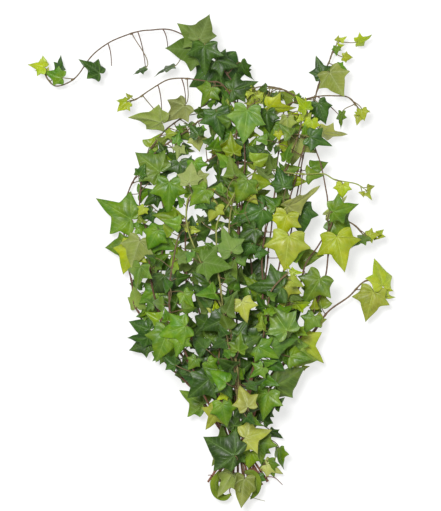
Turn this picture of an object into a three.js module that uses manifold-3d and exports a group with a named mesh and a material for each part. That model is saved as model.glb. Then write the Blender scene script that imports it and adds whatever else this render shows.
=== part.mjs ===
// A bunch of cut ivy trails, tied near their cut ends and laid down on a surface.
// Millimetres, +Z up, the surface at z = 0. +Y runs from the cut ends to the tips.
// Each trail is one solid: its stem with the petioles and lobed leaves that grow from it.

import * as THREE from 'three';
import Module from 'manifold-3d';

const wasm = await Module();
wasm.setup();

// Where the stems are tied together, and how they pack there
const TIE = { x: 30, y: -226, z: 10.9 };
const STEM_PITCH = 3.45;
const ROW_SIZES = [4, 5, 6, 5, 4];
const ROW_RISE = STEM_PITCH * Math.sqrt(3) / 2;
const TIE_BLEND = 75;
const TIE_STEPS = 4;
const CUT_SPLAY = 4.2;
const CUT_LENGTH = [26, 46];

// The tie band: an oval ring round the packed stems
const BAND = { innerX: 11.2, innerZ: 9.4, thick: 1.2, width: 3.2, steps: 28 };

// Height of the pile: its lowest stem, the edge's thickness and the middle's extra thickness
const PILE = { floor: 6, edge: 34, crown: 58, x: 14, y: -20, spreadX: 150, spreadY: 200 };

// Stems
const STEM_RADIUS = { root: 1.5, tip: 0.85 };
const STEM_TAPER_LENGTH = 420;
const STEM_SIDES = 4;
const RING_GAP = { least: 11, most: 46 };
const RING_BEND = 13;
const ROUTE_SAMPLES = 6;

// Leaves
const BLADE_THICK = 0.8;
const PETIOLE_HALF = 0.5;
const PETIOLE_FOOT_HALF = 0.32;
const PETIOLE_SEGMENTS = 2;
const PETIOLE_SHARE = 0.5;
const NODE_STEP = 2;
const NODE_GAP = 6;
const PETIOLE_BEND = 0.3;
const PETIOLE_RISE = 0.12;
const LEAF_LIFT = 9;
const REST_HEIGHT = BLADE_THICK / 2;
const REST_EXTRA = 8;
const FLOOR_CLEAR = 0.5;

// How leaves differ: bends of the blade in leaf lengths, breadth, slant of the side lobes and
// depth of the last sinus
const SHAPE = {
  fold: [0.06, 0.2], curl: [0.05, 0.18], wing: [0.1, 0.35], twist: [-0.12, 0.12],
  width: [0.92, 1.14], skew: [-0.07, 0.07], depth: [0.75, 1.25],
};
const FLAT = { fold: 0, curl: 0, wing: 0, twist: 0, width: 1, skew: 0, depth: 1 };

// Half of a leaf's outline from its notch to its tip, in leaf lengths: basal lobe, first
// sinus, side lobe, second sinus. The plainer leaf has one side lobe.
const FIVE_LOBES = [[0.4, -0.13], [0.44, 0.08], [0.6, 0.32], [0.32, 0.47]];
const THREE_LOBES = [[0.53, 0.07], [0.32, 0.42]];
const SIDE_LOBE = { 5: 2, 3: 0 };

// Leaves that the list doesn't name, placed by rule along each stem inside the bunch's outline
const FILL = {
  first: 30, gap: 52, clear: 20, tieClear: 13, length: [27, 41], petiole: [14, 26],
  spread: [45, 80], roll: [-25, 25], pitch: [-15, 15], bend: 12, shrink: 0.45,
};
const FILL_OUTLINE = [[0, -215], [-28, -185], [-49, -149], [-76, -113], [-102, -89], [-100, -47],
  [-102, 13], [-110, 45], [-105, 95], [-76, 145], [-50, 180], [-16, 215], [20, 240], [50, 211],
  [104, 199], [140, 170], [150, 120], [140, 73], [158, 13], [146, -35], [140, -83], [131, -131],
  [92, -167], [71, -203]];

// Room kept between a leaf and what belongs to another trail
const CLEARANCE = 0.35;
const OUTLINE_CLEARANCE = 1.05;
const TRY_CLIMBS = [0, 4, 8, -4, 12, 16, -8, 20, 24, -12, 28, 32, -16, 36, -20, 42, -26, 50];
const TRY_TURNS = [0, 22, -22, 45, -45];
const TRY_SIZES = [1, 0.86];

// Each trail has its own run of seeds, and its added leaves start further along it
const TRAIL_SEEDS = 100;
const FIRST_FILL_SEED = 20;

// Leaf tones: deep green, mid green, young yellow-green, pale
const DEEP = 0;
const MID = 1;
const YOUNG = 2;
const PALE = 3;

// A trail's colour goes by the mean tone of its leaves
const LOOK = {
  deep: { color: 0x2f5d1e, roughness: 0.5, metalness: 0 },
  mid: { color: 0x4f8f1f, roughness: 0.5, metalness: 0 },
  young: { color: 0x8fb52c, roughness: 0.55, metalness: 0 },
  band: { color: 0xd8cfae, roughness: 0.8, metalness: 0 },
};
const DEEP_UP_TO = 0.9;
const MID_UP_TO = 1.8;

// Trails. level: place in the pile, 0 lowest. route: the stem's way in plan from above the
// tie to its tip. leaves: [base x, base y, tip x, tip y, roll, pitch, tone], where roll 180
// shows the underside. rest: leaves that lie flat on the surface, [base x, base y, tip x, tip y].
const TRAILS = [
  {
    name: 'ivy_trail_01', level: 10,
    route: [[28, -47], [32, 37], [30, 109], [28, 169], [29, 203], [11, 234], [-12, 259],
      [-49, 278], [-76, 279], [-91, 277], [-108, 271], [-127, 263], [-144, 250], [-162, 226],
      [-176, 215], [-190, 211], [-200, 220], [-205, 232]],
    leaves: [[-203, 233, -223, 239, 30, 0, YOUNG], [-182, 221, -205, 227, -20, 0, MID],
      [-187, 230, -180, 248, 55, 0, DEEP], [-137, 226, -160, 244, 35, 15, DEEP],
      [-82, 232, -97, 225, 65, 0, DEEP], [-49, 233, -73, 226, 70, 0, DEEP],
      [-14, 254, -58, 256, 180, 0, PALE], [-17, 265, -43, 286, 170, 0, PALE],
      [-16, 266, -3, 295, 170, 0, PALE], [-10, 258, -12, 222, 20, 0, DEEP],
      [4, 241, 32, 234, -15, 0, DEEP], [34, 238, 44, 215, 50, 0, DEEP],
      [4, 240, 19, 182, 0, 0, DEEP], [23, 205, 55, 216, 0, 0, DEEP]],
  },
  {
    name: 'ivy_trail_02', level: 14,
    route: [[6, -143], [18, -47], [32, 49], [38, 133], [30, 181], [11, 212], [-5, 216], [-22, 219],
      [-38, 220], [-54, 218], [-67, 212], [-78, 205], [-90, 196], [-103, 191]],
    leaves: [[-103, 191, -116, 180, 20, 0, YOUNG], [-62, 166, -99, 180, 135, 0, PALE],
      [-34, 187, -60, 167, 165, -10, PALE], [-2, 208, -16, 186, 10, 0, MID]],
  },
  {
    name: 'ivy_trail_03', level: 3,
    route: [[-10, -173], [-31, -148], [-56, -124], [-77, -97], [-88, -67], [-95, -53], [-98, -29],
      [-106, 7], [-108, 43], [-106, 67], [-102, 85], [-89, 109], [-79, 130], [-68, 145],
      [-54, 162], [-24, 181], [2, 194], [23, 202]],
    leaves: [[-98, 50, -142, 76, 0, 0, MID], [-103, 18, -131, 17, 10, 0, MID],
      [-96, 18, -110, -16, 10, 0, YOUNG], [-88, 25, -100, -8, 170, 0, PALE],
      [-66, -35, -90, -52, 0, 0, MID], [-68, -18, -86, -32, 160, 0, PALE],
      [-78, -100, -102, -108, 0, 0, DEEP]],
    rest: [[-78, -52, -52, -44]],
  },
  {
    name: 'ivy_trail_04', level: 8,
    route: [[-4, -149], [-42, -107], [-66, -59], [-76, -11], [-79, 31], [-88, 67], [-85, 103],
      [-73, 127], [-44, 149], [-30, 158], [-16, 169], [0, 175], [18, 181]],
    leaves: [[-64, 107, -94, 131, 0, 0, MID], [-66, 37, -80, 13, 10, 0, MID],
      [-59, 131, -66, 145, 20, 0, DEEP], [-44, 142, -40, 156, 10, 0, MID],
      [-40, 138, -44, 121, 170, 0, PALE], [-20, 151, -16, 131, 0, 0, PALE],
      [-18, 150, -28, 164, 15, 0, DEEP], [-86, -6, -94, -36, 40, 0, MID]],
  },
  {
    name: 'ivy_trail_05', level: 11,
    route: [[-3, -143], [-28, -83], [-32, -11], [-32, 55], [-22, 100], [-13, 115], [12, 134],
      [24, 148], [36, 167], [42, 184], [59, 196]],
    leaves: [[-52, 95, -54, 53, 0, 0, MID], [-40, 118, -36, 92, 0, 0, DEEP],
      [-22, 119, -16, 97, 20, 0, MID], [-30, 111, -46, 88, 0, 0, DEEP],
      [4, 179, 10, 145, 10, 0, DEEP], [41, 181, 36, 139, 0, 0, MID],
      [42, 138, 14, 116, 0, 0, DEEP]],
  },
  {
    name: 'ivy_trail_06', level: 16,
    route: [[44, -143], [66, -71], [80, 1], [92, 73], [108, 133], [114, 169], [104, 193],
      [88, 205], [71, 209], [54, 209], [42, 203]],
    leaves: [[66, 185, 100, 179, 40, 0, YOUNG], [89, 172, 88, 150, 160, 0, PALE],
      [78, 154, 79, 143, 0, 0, YOUNG], [118, 169, 116, 149, 0, 0, YOUNG],
      [77, 136, 73, 127, 40, 0, DEEP], [72, 166, 64, 136, 10, 0, MID]],
  },
  {
    name: 'ivy_trail_07', level: 7,
    route: [[50, -131], [74, -59], [90, 13], [100, 73], [108, 121], [115, 157], [122, 192],
      [131, 222], [140, 241], [146, 256], [152, 265]],
    leaves: [[132, 223, 124, 248, 0, 0, DEEP], [140, 227, 158, 197, 180, 0, PALE],
      [157, 246, 169, 245, 20, 0, YOUNG], [150, 234, 163, 229, 0, 0, MID],
      [149, 258, 148, 247, 30, 0, MID], [174, 264, 193, 270, 50, 0, YOUNG]],
  },
  {
    name: 'ivy_trail_08', level: 13,
    route: [[59, -47], [68, 25], [74, 85], [80, 145], [84, 175], [90, 188], [108, 194], [126, 198],
      [146, 199], [162, 198], [172, 188], [179, 178]],
    leaves: [[155, 178, 152, 158, 60, 0, MID], [179, 182, 182, 168, 20, 0, YOUNG],
      [126, 190, 136, 164, 0, 0, DEEP], [115, 148, 143, 137, 0, 0, DEEP],
      [131, 156, 161, 148, 60, 0, PALE]],
  },
  {
    name: 'ivy_trail_09', level: 18,
    route: [[32, -131], [20, -47], [18, 25], [26, 79], [44, 102], [62, 108], [86, 106], [110, 104],
      [133, 104], [145, 98], [160, 95], [173, 92], [184, 85]],
    leaves: [[84, 88, 77, 114, 0, 0, DEEP], [88, 66, 131, 82, 60, 0, PALE],
      [104, 65, 107, 29, 0, 0, DEEP], [36, 85, 54, 67, 20, 0, YOUNG],
      [155, 92, 154, 74, 10, 0, YOUNG]],
  },
  {
    name: 'ivy_trail_10', level: 15,
    route: [[59, -149], [80, -101], [86, -61], [95, -46], [104, -28], [112, -2], [127, 20],
      [142, 44], [138, 66], [137, 79], [132, 103], [128, 121], [124, 132], [118, 149], [110, 167],
      [104, 179]],
    leaves: [[104, 148, 94, 113, 180, 0, PALE], [137, 56, 164, 73, 60, 0, PALE],
      [143, 59, 175, 66, 20, 0, MID], [128, -20, 106, -56, 0, 0, MID],
      [54, -258, 52, -276, 0, 0, DEEP], [56, -214, 58, -246, 0, 0, MID],
      [85, -23, 82, -60, 0, 0, YOUNG], [88, -26, 101, -17, 0, 0, YOUNG]],
  },
  {
    name: 'ivy_trail_11', level: 12,
    route: [[59, -157], [86, -119], [110, -83], [126, -47], [136, -16], [138, 6], [140, 25],
      [144, 42], [158, 48], [172, 42], [184, 30], [198, 31]],
    leaves: [[148, 30, 158, -14, 0, 0, YOUNG], [144, 49, 169, 30, 0, 0, MID],
      [184, 29, 164, 18, 60, 0, MID], [186, 30, 202, 32, 0, 0, YOUNG],
      [121, -66, 109, -88, 0, 0, MID], [64, -246, 85, -258, 0, 0, PALE]],
  },
  {
    name: 'ivy_trail_12', level: 6,
    route: [[62, -167], [82, -131], [96, -109], [109, -95], [122, -85], [139, -61], [164, -43],
      [182, -25], [196, -24], [206, -37]],
    leaves: [[204, -30, 198, 4, 35, 0, YOUNG], [193, -36, 184, -74, 0, 0, YOUNG],
      [203, -40, 219, -48, 50, 0, YOUNG], [104, -94, 134, -124, 0, 0, YOUNG]],
    rest: [[84, -78, 104, -58]],
  },
  {
    name: 'ivy_trail_13', level: 9,
    route: [[26, -131], [23, -47], [28, 25], [42, 85], [59, 133], [66, 169], [50, 193]],
    leaves: [[52, 205, 41, 176, 15, 0, YOUNG], [65, 179, 66, 152, 30, 0, DEEP],
      [47, 179, 54, 160, 0, 0, DEEP], [62, 133, 44, 121, 0, 0, DEEP],
      [64, 124, 54, 110, 0, 0, YOUNG]],
  },
  {
    name: 'ivy_trail_14', level: 17,
    route: [[50, -119], [59, -47], [59, 13], [68, 55], [80, 102], [89, 113], [102, 151],
      [107, 169]],
    leaves: [[88, 56, 80, 25, 0, 0, YOUNG], [90, 30, 85, -13, 0, 0, YOUNG],
      [59, 61, 18, 42, 0, 0, DEEP], [50, 38, 26, 22, 15, 0, DEEP], [46, 20, 34, 4, 0, 0, DEEP],
      [52, 10, 68, 10, 0, 0, DEEP], [82, -31, 40, -31, 0, 0, DEEP]],
  },
  {
    name: 'ivy_trail_15', level: 5,
    route: [[-16, -155], [-49, -107], [-64, -71], [-70, -35], [-61, 13], [-58, 49], [-64, 85]],
    leaves: [[-76, 30, -42, 13, 0, 0, MID], [-76, 4, -42, -11, 0, 0, MID],
      [-64, -42, -41, -56, 0, 0, MID], [-58, -17, -40, -55, 30, 0, DEEP],
      [-73, 59, -92, 47, 0, 0, DEEP], [-67, 79, -85, 66, 0, 0, DEEP],
      [-82, 64, -90, 54, 0, 0, YOUNG]],
  },
  {
    name: 'ivy_trail_16', level: 19,
    route: [[-10, -161], [-28, -119], [-49, -77], [-52, -35], [-46, 7], [-40, 31], [-30, 40]],
    leaves: [[-54, -83, -68, -121, 0, 0, MID], [-32, -77, -68, -90, 0, 0, MID],
      [-35, -38, -22, -56, 0, 0, YOUNG], [-4, -140, -31, -164, 0, 0, DEEP],
      [-6, -128, -36, -136, 0, 0, DEEP], [-37, -90, -44, -115, 0, 0, MID],
      [-20, -116, -30, -130, 0, 0, YOUNG]],
  },
  {
    name: 'ivy_trail_17', level: 23,
    route: [[30, -143], [22, -91], [14, -62], [1, -35], [-10, -11], [-22, 16], [-30, 40],
      [-32, 59], [-28, 76], [-18, 80], [-4, 78]],
    leaves: [[34, -47, 41, -74, 0, 0, PALE], [-12, -1, 24, -8, 180, 0, PALE],
      [5, 66, -5, 46, 0, 0, YOUNG], [-2, 70, -13, 59, 0, 0, DEEP],
      [-28, 92, -24, 118, 170, 0, PALE], [-19, 100, -5, 85, 180, 0, PALE],
      [38, -262, 32, -297, 170, 0, PALE]],
  },
  {
    name: 'ivy_trail_18', level: 22,
    route: [[28, -149], [16, -83], [5, -1], [4, 25], [6, 47], [20, 70], [34, 95], [42, 96],
      [47, 85]],
    leaves: [[22, 11, 10, 42, 180, 0, PALE], [-8, 84, -30, 66, 20, 0, MID],
      [41, 95, 28, 67, 0, 0, MID]],
  },
  {
    name: 'ivy_trail_19', level: 21,
    route: [[44, -149], [59, -95], [66, -47], [74, -29], [92, -11]],
    leaves: [[88, -83, 65, -50, 0, 0, MID], [52, -101, 79, -116, 0, 0, MID],
      [41, -173, 32, -146, 10, 0, PALE], [59, -126, 43, -139, 0, 0, YOUNG],
      [38, -212, 71, -203, 0, 0, PALE]],
  },
  {
    name: 'ivy_trail_20', level: 4,
    route: [[-16, -167], [-34, -137], [-58, -109], [-82, -92]],
    leaves: [[-12, -173, -41, -156, 0, 0, MID], [-76, -83, -102, -73, 0, 0, DEEP],
      [-78, -92, -103, -95, -30, 0, DEEP], [-50, -100, -66, -124, 20, 0, MID]],
  },
  {
    name: 'ivy_trail_21', level: 2,
    route: [[68, -173], [86, -149], [104, -131]],
    leaves: [[74, -149, 113, -130, 40, 0, MID], [66, -157, 58, -191, 20, 0, MID],
      [64, -175, 52, -197, 0, 0, DEEP], [70, -205, 84, -216, 50, 0, DEEP],
      [80, -227, 82, -253, 60, 0, MID]],
  },
  {
    name: 'ivy_trail_22', level: 20,
    route: [[20, -143], [14, -95], [2, -59]],
    leaves: [[11, -169, 17, -199, 0, 0, MID], [-6, -119, 7, -132, 10, 0, MID],
      [11, -143, 23, -164, 0, 0, DEEP], [16, -158, 4, -166, 0, 0, YOUNG],
      [6, -178, -9, -202, 0, 0, YOUNG], [14, -68, -16, -83, 0, 0, DEEP],
      [26, -233, -12, -211, 0, 0, DEEP]],
  },
  {
    name: 'ivy_trail_23', level: 1,
    route: [[32, -137], [36, -95], [44, -65], [46, 0], [30, 60], [22, 100]],
    leaves: [],
    rest: [[30, 84, 8, 100], [46, -20, 60, 2]],
  },
  {
    name: 'ivy_trail_24', level: 0,
    route: [[24, -170], [4, -120], [-14, -70], [-24, -20], [-20, 40]],
    leaves: [[24, -256, 4, -284, 170, 0, PALE]],
    rest: [[2, -150, 24, -162], [-24, 34, -46, 44]],
  },
];

// Repeatable draw between 0 and 1
function draw(seed) {
  const wave = Math.sin(seed * 127.1 + 311.7) * 43758.5453;
  return wave - Math.floor(wave);
}

function between(range, share) {
  return range[0] + (range[1] - range[0]) * share;
}

function smoothStep(share) {
  const t = Math.min(Math.max(share, 0), 1);
  return t * t * (3 - 2 * t);
}

// A closed solid from vertices and triangles
function solidFrom(vertices, triangles) {
  const vertProperties = new Float32Array(vertices.flatMap((v) => [v.x, v.y, v.z]));
  const triVerts = new Uint32Array(triangles.flat());
  const mesh = new wasm.Mesh({ numProp: 3, vertProperties, triVerts });
  mesh.merge();
  return new wasm.Manifold(mesh);
}

// A closed tube through points, with flat ends and its own radius at each point
function tube(points, radii, sides) {
  const vertices = [];
  let side = null;
  points.forEach((point, i) => {
    const ahead = points[Math.min(i + 1, points.length - 1)];
    const behind = points[Math.max(i - 1, 0)];
    const along = ahead.clone().sub(behind).normalize();
    if (!side) side = new THREE.Vector3(-along.y, along.x, 0);
    side.addScaledVector(along, -side.dot(along)).normalize();
    const up = along.clone().cross(side);
    for (let k = 0; k < sides; k += 1) {
      const angle = 2 * Math.PI * (k + 0.5) / sides;
      vertices.push(point.clone()
        .addScaledVector(side, radii[i] * Math.cos(angle))
        .addScaledVector(up, radii[i] * Math.sin(angle)));
    }
  });
  const triangles = [];
  for (let i = 0; i + 1 < points.length; i += 1) {
    for (let k = 0; k < sides; k += 1) {
      const a = i * sides + k;
      const b = i * sides + (k + 1) % sides;
      triangles.push([a, b, b + sides], [a, b + sides, a + sides]);
    }
  }
  const last = (points.length - 1) * sides;
  for (let k = 1; k + 1 < sides; k += 1) {
    triangles.push([0, k + 1, k], [last, last + k, last + k + 1]);
  }
  return solidFrom(vertices, triangles);
}

// Thickness of the pile at a place in plan
function pileThickness(x, y) {
  const fadeX = Math.exp(-(((x - PILE.x) / PILE.spreadX) ** 2));
  const fadeY = Math.exp(-(((y - PILE.y) / PILE.spreadY) ** 4));
  return PILE.edge + PILE.crown * fadeX * fadeY;
}

// Each trail's place among the packed stems: rows by level, and from left to right in a row
function packStems() {
  const byLevel = [...TRAILS].sort((a, b) => a.level - b.level);
  const slant = ({ route: [[x, y]] }) => (x - TIE.x) / (y - TIE.y);
  let first = 0;
  ROW_SIZES.forEach((size, row) => {
    const members = byLevel.slice(first, first + size).sort((a, b) => slant(a) - slant(b));
    members.forEach((trail, column) => {
      trail.packX = (column - (size - 1) / 2) * STEM_PITCH;
      trail.packZ = (row - (ROW_SIZES.length - 1) / 2) * ROW_RISE;
    });
    first += size;
  });
}

// Where a line first crosses a given y
function crossing(points, y) {
  const i = points.findIndex((point) => point.y >= y);
  if (i < 1) return points[0].clone();
  const share = (y - points[i - 1].y) / (points[i].y - points[i - 1].y);
  return points[i - 1].clone().lerp(points[i], share);
}

// A line thinned to a point at each bend, and none further apart than the longest gap
function sparse(points) {
  const kept = [points[0]];
  const end = points.at(-1);
  let bend = 0;
  for (let i = 1; i < points.length - 1; i += 1) {
    const before = points[i].clone().sub(points[i - 1]);
    const after = points[i + 1].clone().sub(points[i]);
    bend += THREE.MathUtils.radToDeg(before.angleTo(after));
    const gap = points[i].distanceTo(kept.at(-1));
    const isDue = bend > RING_BEND || gap > RING_GAP.most;
    if (isDue && gap > RING_GAP.least && points[i].distanceTo(end) > RING_GAP.least) {
      kept.push(points[i]);
      bend = 0;
    }
  }
  return [...kept, end];
}

// A stem's centre line, from its cut end to its tip, straight between its rings, with the
// length run at each ring. All stems have their rings at the same places by the tie.
function stemLine(trail, seed) {
  const cut = between(CUT_LENGTH, draw(seed));
  const plan = [[TIE.x + trail.packX, TIE.y], ...trail.route];
  const curve = new THREE.CatmullRomCurve3(
    plan.map(([x, y]) => new THREE.Vector3(x, y, 0)), false, 'catmullrom', 0.5);
  const samples = curve.getPoints(trail.route.length * ROUTE_SAMPLES);
  const packed = [new THREE.Vector3(TIE.x + trail.packX * CUT_SPLAY, TIE.y - cut, 0)];
  for (let i = 0; i <= TIE_STEPS; i += 1) {
    packed.push(crossing(samples, TIE.y + TIE_BLEND * i / TIE_STEPS));
  }
  const free = samples.filter((point) => point.y > TIE.y + TIE_BLEND);
  const line = [...packed.slice(0, -1), ...sparse([packed.at(-1), ...free])];
  line.forEach((point) => {
    const lift = smoothStep((point.y - TIE.y) / TIE_BLEND);
    const height = trail.level / (TRAILS.length - 1) * pileThickness(point.x, point.y);
    point.z = (TIE.z + trail.packZ) * (1 - lift) + (PILE.floor + height) * lift;
  });
  const runs = [0];
  line.slice(1).forEach((point, i) => runs.push(runs[i] + point.distanceTo(line[i])));
  return { points: line, runs, length: runs.at(-1), radii: runs.map(stemRadius) };
}

// Point and direction at a run along a stem's centre line
function alongStem(line, run) {
  const goal = Math.min(Math.max(run, 0), line.length);
  let i = 1;
  while (i < line.points.length - 1 && line.runs[i] < goal) i += 1;
  const share = (goal - line.runs[i - 1]) / (line.runs[i] - line.runs[i - 1]);
  return {
    point: line.points[i - 1].clone().lerp(line.points[i], share),
    direction: line.points[i].clone().sub(line.points[i - 1]).normalize(),
  };
}

function stemRadius(run) {
  const share = Math.min(run / STEM_TAPER_LENGTH, 1);
  return STEM_RADIUS.root + (STEM_RADIUS.tip - STEM_RADIUS.root) * share;
}

// A stem's tube, or a stretch of it
function stemTube(stem, from = 0, to = stem.points.length) {
  return tube(stem.points.slice(from, to), stem.radii.slice(from, to), STEM_SIDES);
}

// A leaf's axes: along its midrib, across it, and out of its upper face
function setAxes(leaf) {
  const heading = THREE.MathUtils.degToRad(leaf.heading);
  const roll = THREE.MathUtils.degToRad(leaf.roll);
  const pitch = THREE.MathUtils.degToRad(leaf.pitch);
  leaf.along = new THREE.Vector3(
    Math.cos(heading) * Math.cos(pitch), Math.sin(heading) * Math.cos(pitch), Math.sin(pitch));
  const level = new THREE.Vector3(-Math.sin(heading), Math.cos(heading), 0);
  const up = leaf.along.clone().cross(level);
  leaf.across = level.clone().multiplyScalar(Math.cos(roll)).addScaledVector(up, Math.sin(roll));
  leaf.normal = leaf.along.clone().cross(leaf.across);
}

// A leaf's outline from the right of its notch round its tip to the left of it
function outlineOf(leaf) {
  const half = leaf.lobes === 5 ? FIVE_LOBES : THREE_LOBES;
  const notch = PETIOLE_HALF / (leaf.length * leaf.width);
  const sinus = half.length - 1;
  const shaped = (sign) => half.map(([u, v], i) => {
    if (i === SIDE_LOBE[leaf.lobes]) return [sign * u, v + sign * leaf.skew];
    if (i === sinus) return [sign * u * leaf.depth, v];
    return [sign * u, v];
  });
  return [[notch, 0], ...shaped(1), [0, 1], ...shaped(-1).reverse(), [-notch, 0]];
}

// A point of a leaf's surface: u across and v along, in leaf lengths
function bladePoint(leaf, [u, v], offset) {
  const rise = leaf.fold * Math.abs(u) - leaf.curl * v * v - leaf.wing * u * u + leaf.twist * u * v;
  return leaf.base.clone()
    .addScaledVector(leaf.along, v * leaf.length)
    .addScaledVector(leaf.across, u * leaf.width * leaf.length)
    .addScaledVector(leaf.normal, rise * leaf.length + offset);
}

// Square rings of a petiole, from the blade's notch back to the stem's centre line
function petioleRings(leaf, notchRing, extra) {
  const notch = leaf.base;
  const reach = leaf.foot.distanceTo(notch);
  const outward = notch.clone().sub(leaf.foot).setZ(0).normalize();
  const curve = new THREE.CubicBezierCurve3(
    notch,
    notch.clone().addScaledVector(leaf.along, -PETIOLE_BEND * reach),
    leaf.foot.clone()
      .addScaledVector(outward, PETIOLE_BEND * reach)
      .setZ(leaf.foot.z + PETIOLE_RISE * reach),
    leaf.foot,
  );
  const rings = [notchRing];
  const side = leaf.across.clone();
  const segments = leaf.byRule ? 1 : PETIOLE_SEGMENTS;
  for (let i = 1; i <= segments; i += 1) {
    const point = curve.getPoint(i / segments);
    const back = curve.getTangent(i / segments);
    side.addScaledVector(back, -side.dot(back)).normalize();
    const up = side.clone().cross(back);
    const half = (i === segments ? PETIOLE_FOOT_HALF : PETIOLE_HALF) + extra;
    rings.push([[1, 1], [-1, 1], [-1, -1], [1, -1]].map(([across, rise]) => point.clone()
      .addScaledVector(side, across * half)
      .addScaledVector(up, rise * half)));
  }
  return rings;
}

// A leaf in one closed mesh: a lobed blade, split into triangles alike on both faces, whose
// notch runs on into its petiole
function leafSolid(leaf, extra = 0) {
  const grow = extra ? OUTLINE_CLEARANCE : 1;
  const outline = outlineOf(leaf).map(([u, v]) => [u * grow, v * grow]);
  const count = outline.length;
  const last = count - 1;
  const tip = last / 2;
  const fan = leaf.lobes === 5
    ? [[0, 1, 2], [0, 2, 4], [2, 3, 4], [0, 4, tip]]
    : [[0, 1, 2], [0, 2, tip]];
  const mirrored = fan.map((face) => face.map((i) => last - i).reverse());
  const faces = [...fan, ...mirrored, [0, tip, last]];
  const rise = BLADE_THICK / 2 + extra;
  const vertices = [rise, -rise].flatMap((offset) => outline.map((uv) => bladePoint(leaf, uv, offset)));
  const triangles = [
    ...faces.map(([a, b, c]) => [a, c, b]),
    ...faces.map(([a, b, c]) => [a + count, b + count, c + count]),
  ];
  for (let i = 0; i < last; i += 1) {
    triangles.push([i, i + 1, i + 1 + count], [i, i + 1 + count, i + count]);
  }
  const corners = [0, last, last + count, count];
  const rings = petioleRings(leaf, corners.map((i) => vertices[i]), extra);
  let ring = corners;
  rings.slice(1).forEach((points) => {
    const next = points.map((point) => vertices.push(point) - 1);
    for (let k = 0; k < 4; k += 1) {
      const m = (k + 1) % 4;
      triangles.push([ring[k], next[m], ring[m]], [ring[k], next[k], next[m]]);
    }
    ring = next;
  });
  triangles.push([ring[0], ring[2], ring[1]], [ring[0], ring[3], ring[2]]);
  return solidFrom(vertices, triangles);
}

// Where a leaf's petiole leaves the stem: back towards the root from the nearest point,
// clear of the tie and of the petioles already there
function petioleRun(stem, base, length, used) {
  const gapAt = (run) => {
    const { point } = alongStem(stem, run);
    return Math.hypot(point.x - base.x, point.y - base.y);
  };
  let run = stem.length;
  for (let at = stem.length; at > 0; at -= NODE_STEP) {
    if (gapAt(at) < gapAt(run)) run = at;
  }
  const isClear = (at) => gapAt(at) >= PETIOLE_SHARE * length
    && Math.abs(alongStem(stem, at).point.y - TIE.y) > 2 * BAND.width
    && used.every((other) => Math.abs(other - at) >= NODE_GAP);
  while (!isClear(run) && run > NODE_GAP) run -= NODE_STEP;
  return run;
}

// How a leaf is bent and how broad it is, from its own draws
function setShape(leaf, seed) {
  Object.entries(SHAPE).forEach(([key, range], i) => {
    leaf[key] = between(range, draw(seed + (i + 1) / 10));
  });
}

// Whether a place in plan lies inside an outline
function isInside({ x, y }, outline) {
  let inside = false;
  outline.forEach(([ax, ay], i) => {
    const [bx, by] = outline[(i + 1) % outline.length];
    if ((ay > y) !== (by > y) && x < ax + (y - ay) / (by - ay) * (bx - ax)) inside = !inside;
  });
  return inside;
}

// Sets where a leaf's petiole leaves its stem
function attach(leaf, stem, used) {
  leaf.run = petioleRun(stem, leaf.base, leaf.length, used);
  leaf.foot = alongStem(stem, leaf.run).point;
  used.push(leaf.run);
}

// A leaf between its base and its tip in plan
function leafBetween([bx, by, tx, ty, roll = 0, pitch = 0]) {
  return {
    base: new THREE.Vector3(bx, by, REST_HEIGHT),
    heading: THREE.MathUtils.radToDeg(Math.atan2(ty - by, tx - bx)),
    length: Math.hypot(tx - bx, ty - by) / Math.cos(THREE.MathUtils.degToRad(pitch)),
    roll, pitch, lobes: 5,
  };
}

// The leaf that the rule adds at a run along a stem, to one side of it and the next to the other
function leafByRule(stem, run, turn, seed) {
  const { point, direction } = alongStem(stem, run);
  const size = 1 - FILL.shrink * smoothStep(run / stem.length);
  const side = turn % 2 ? 1 : -1;
  const way = THREE.MathUtils.radToDeg(Math.atan2(direction.y, direction.x));
  const leaf = {
    heading: way + side * between(FILL.spread, draw(seed + 0.85)),
    length: size * between(FILL.length, draw(seed + 0.95)),
    roll: between(FILL.roll, draw(seed + 0.15)),
    pitch: between(FILL.pitch, draw(seed + 0.25)),
    lobes: 3, foot: point, run, byRule: true,
  };
  const reach = size * between(FILL.petiole, draw(seed + 0.35));
  const bearing = THREE.MathUtils.degToRad(leaf.heading + side * FILL.bend);
  const outward = new THREE.Vector3(Math.cos(bearing), Math.sin(bearing), 0);
  leaf.base = point.clone().addScaledVector(outward, reach);
  leaf.base.z += LEAF_LIFT;
  leaf.tip = leaf.base.clone().addScaledVector(outward, leaf.length);
  setShape(leaf, seed);
  return leaf;
}

// A trail's leaves: flat ones, listed ones, and those that the rule adds
function leavesOf(trail, stem, seed) {
  const leaves = [];
  const used = [];
  (trail.rest || []).forEach((ends) => {
    const leaf = { ...leafBetween(ends), ...FLAT, rests: true };
    leaf.length += REST_EXTRA;
    attach(leaf, stem, used);
    leaves.push(leaf);
  });
  trail.leaves.forEach((ends, i) => {
    const leaf = leafBetween(ends);
    attach(leaf, stem, used);
    leaf.base.z = leaf.foot.z + LEAF_LIFT;
    setShape(leaf, seed + i);
    leaves.push(leaf);
  });
  let turn = 0;
  for (let run = FILL.first; run < stem.length - NODE_GAP; run += FILL.gap) {
    turn += 1;
    const leaf = leafByRule(stem, run, turn, seed + FIRST_FILL_SEED + turn);
    const isNearTie = Math.abs(leaf.foot.y - TIE.y) < FILL.tieClear;
    const isCrowded = used.some((other) => Math.abs(other - run) < FILL.clear);
    if (!isNearTie && !isCrowded && isInside(leaf.tip, FILL_OUTLINE)) leaves.push(leaf);
  }
  return leaves;
}

// The places that a leaf tries in turn: its own height, then higher and lower, then rolled,
// then smaller. Added leaves go down where listed ones go up.
const TRIES = TRY_SIZES.flatMap((size) => TRY_TURNS.flatMap((turn) =>
  TRY_CLIMBS.map((climb) => [climb, turn, size])));

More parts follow.
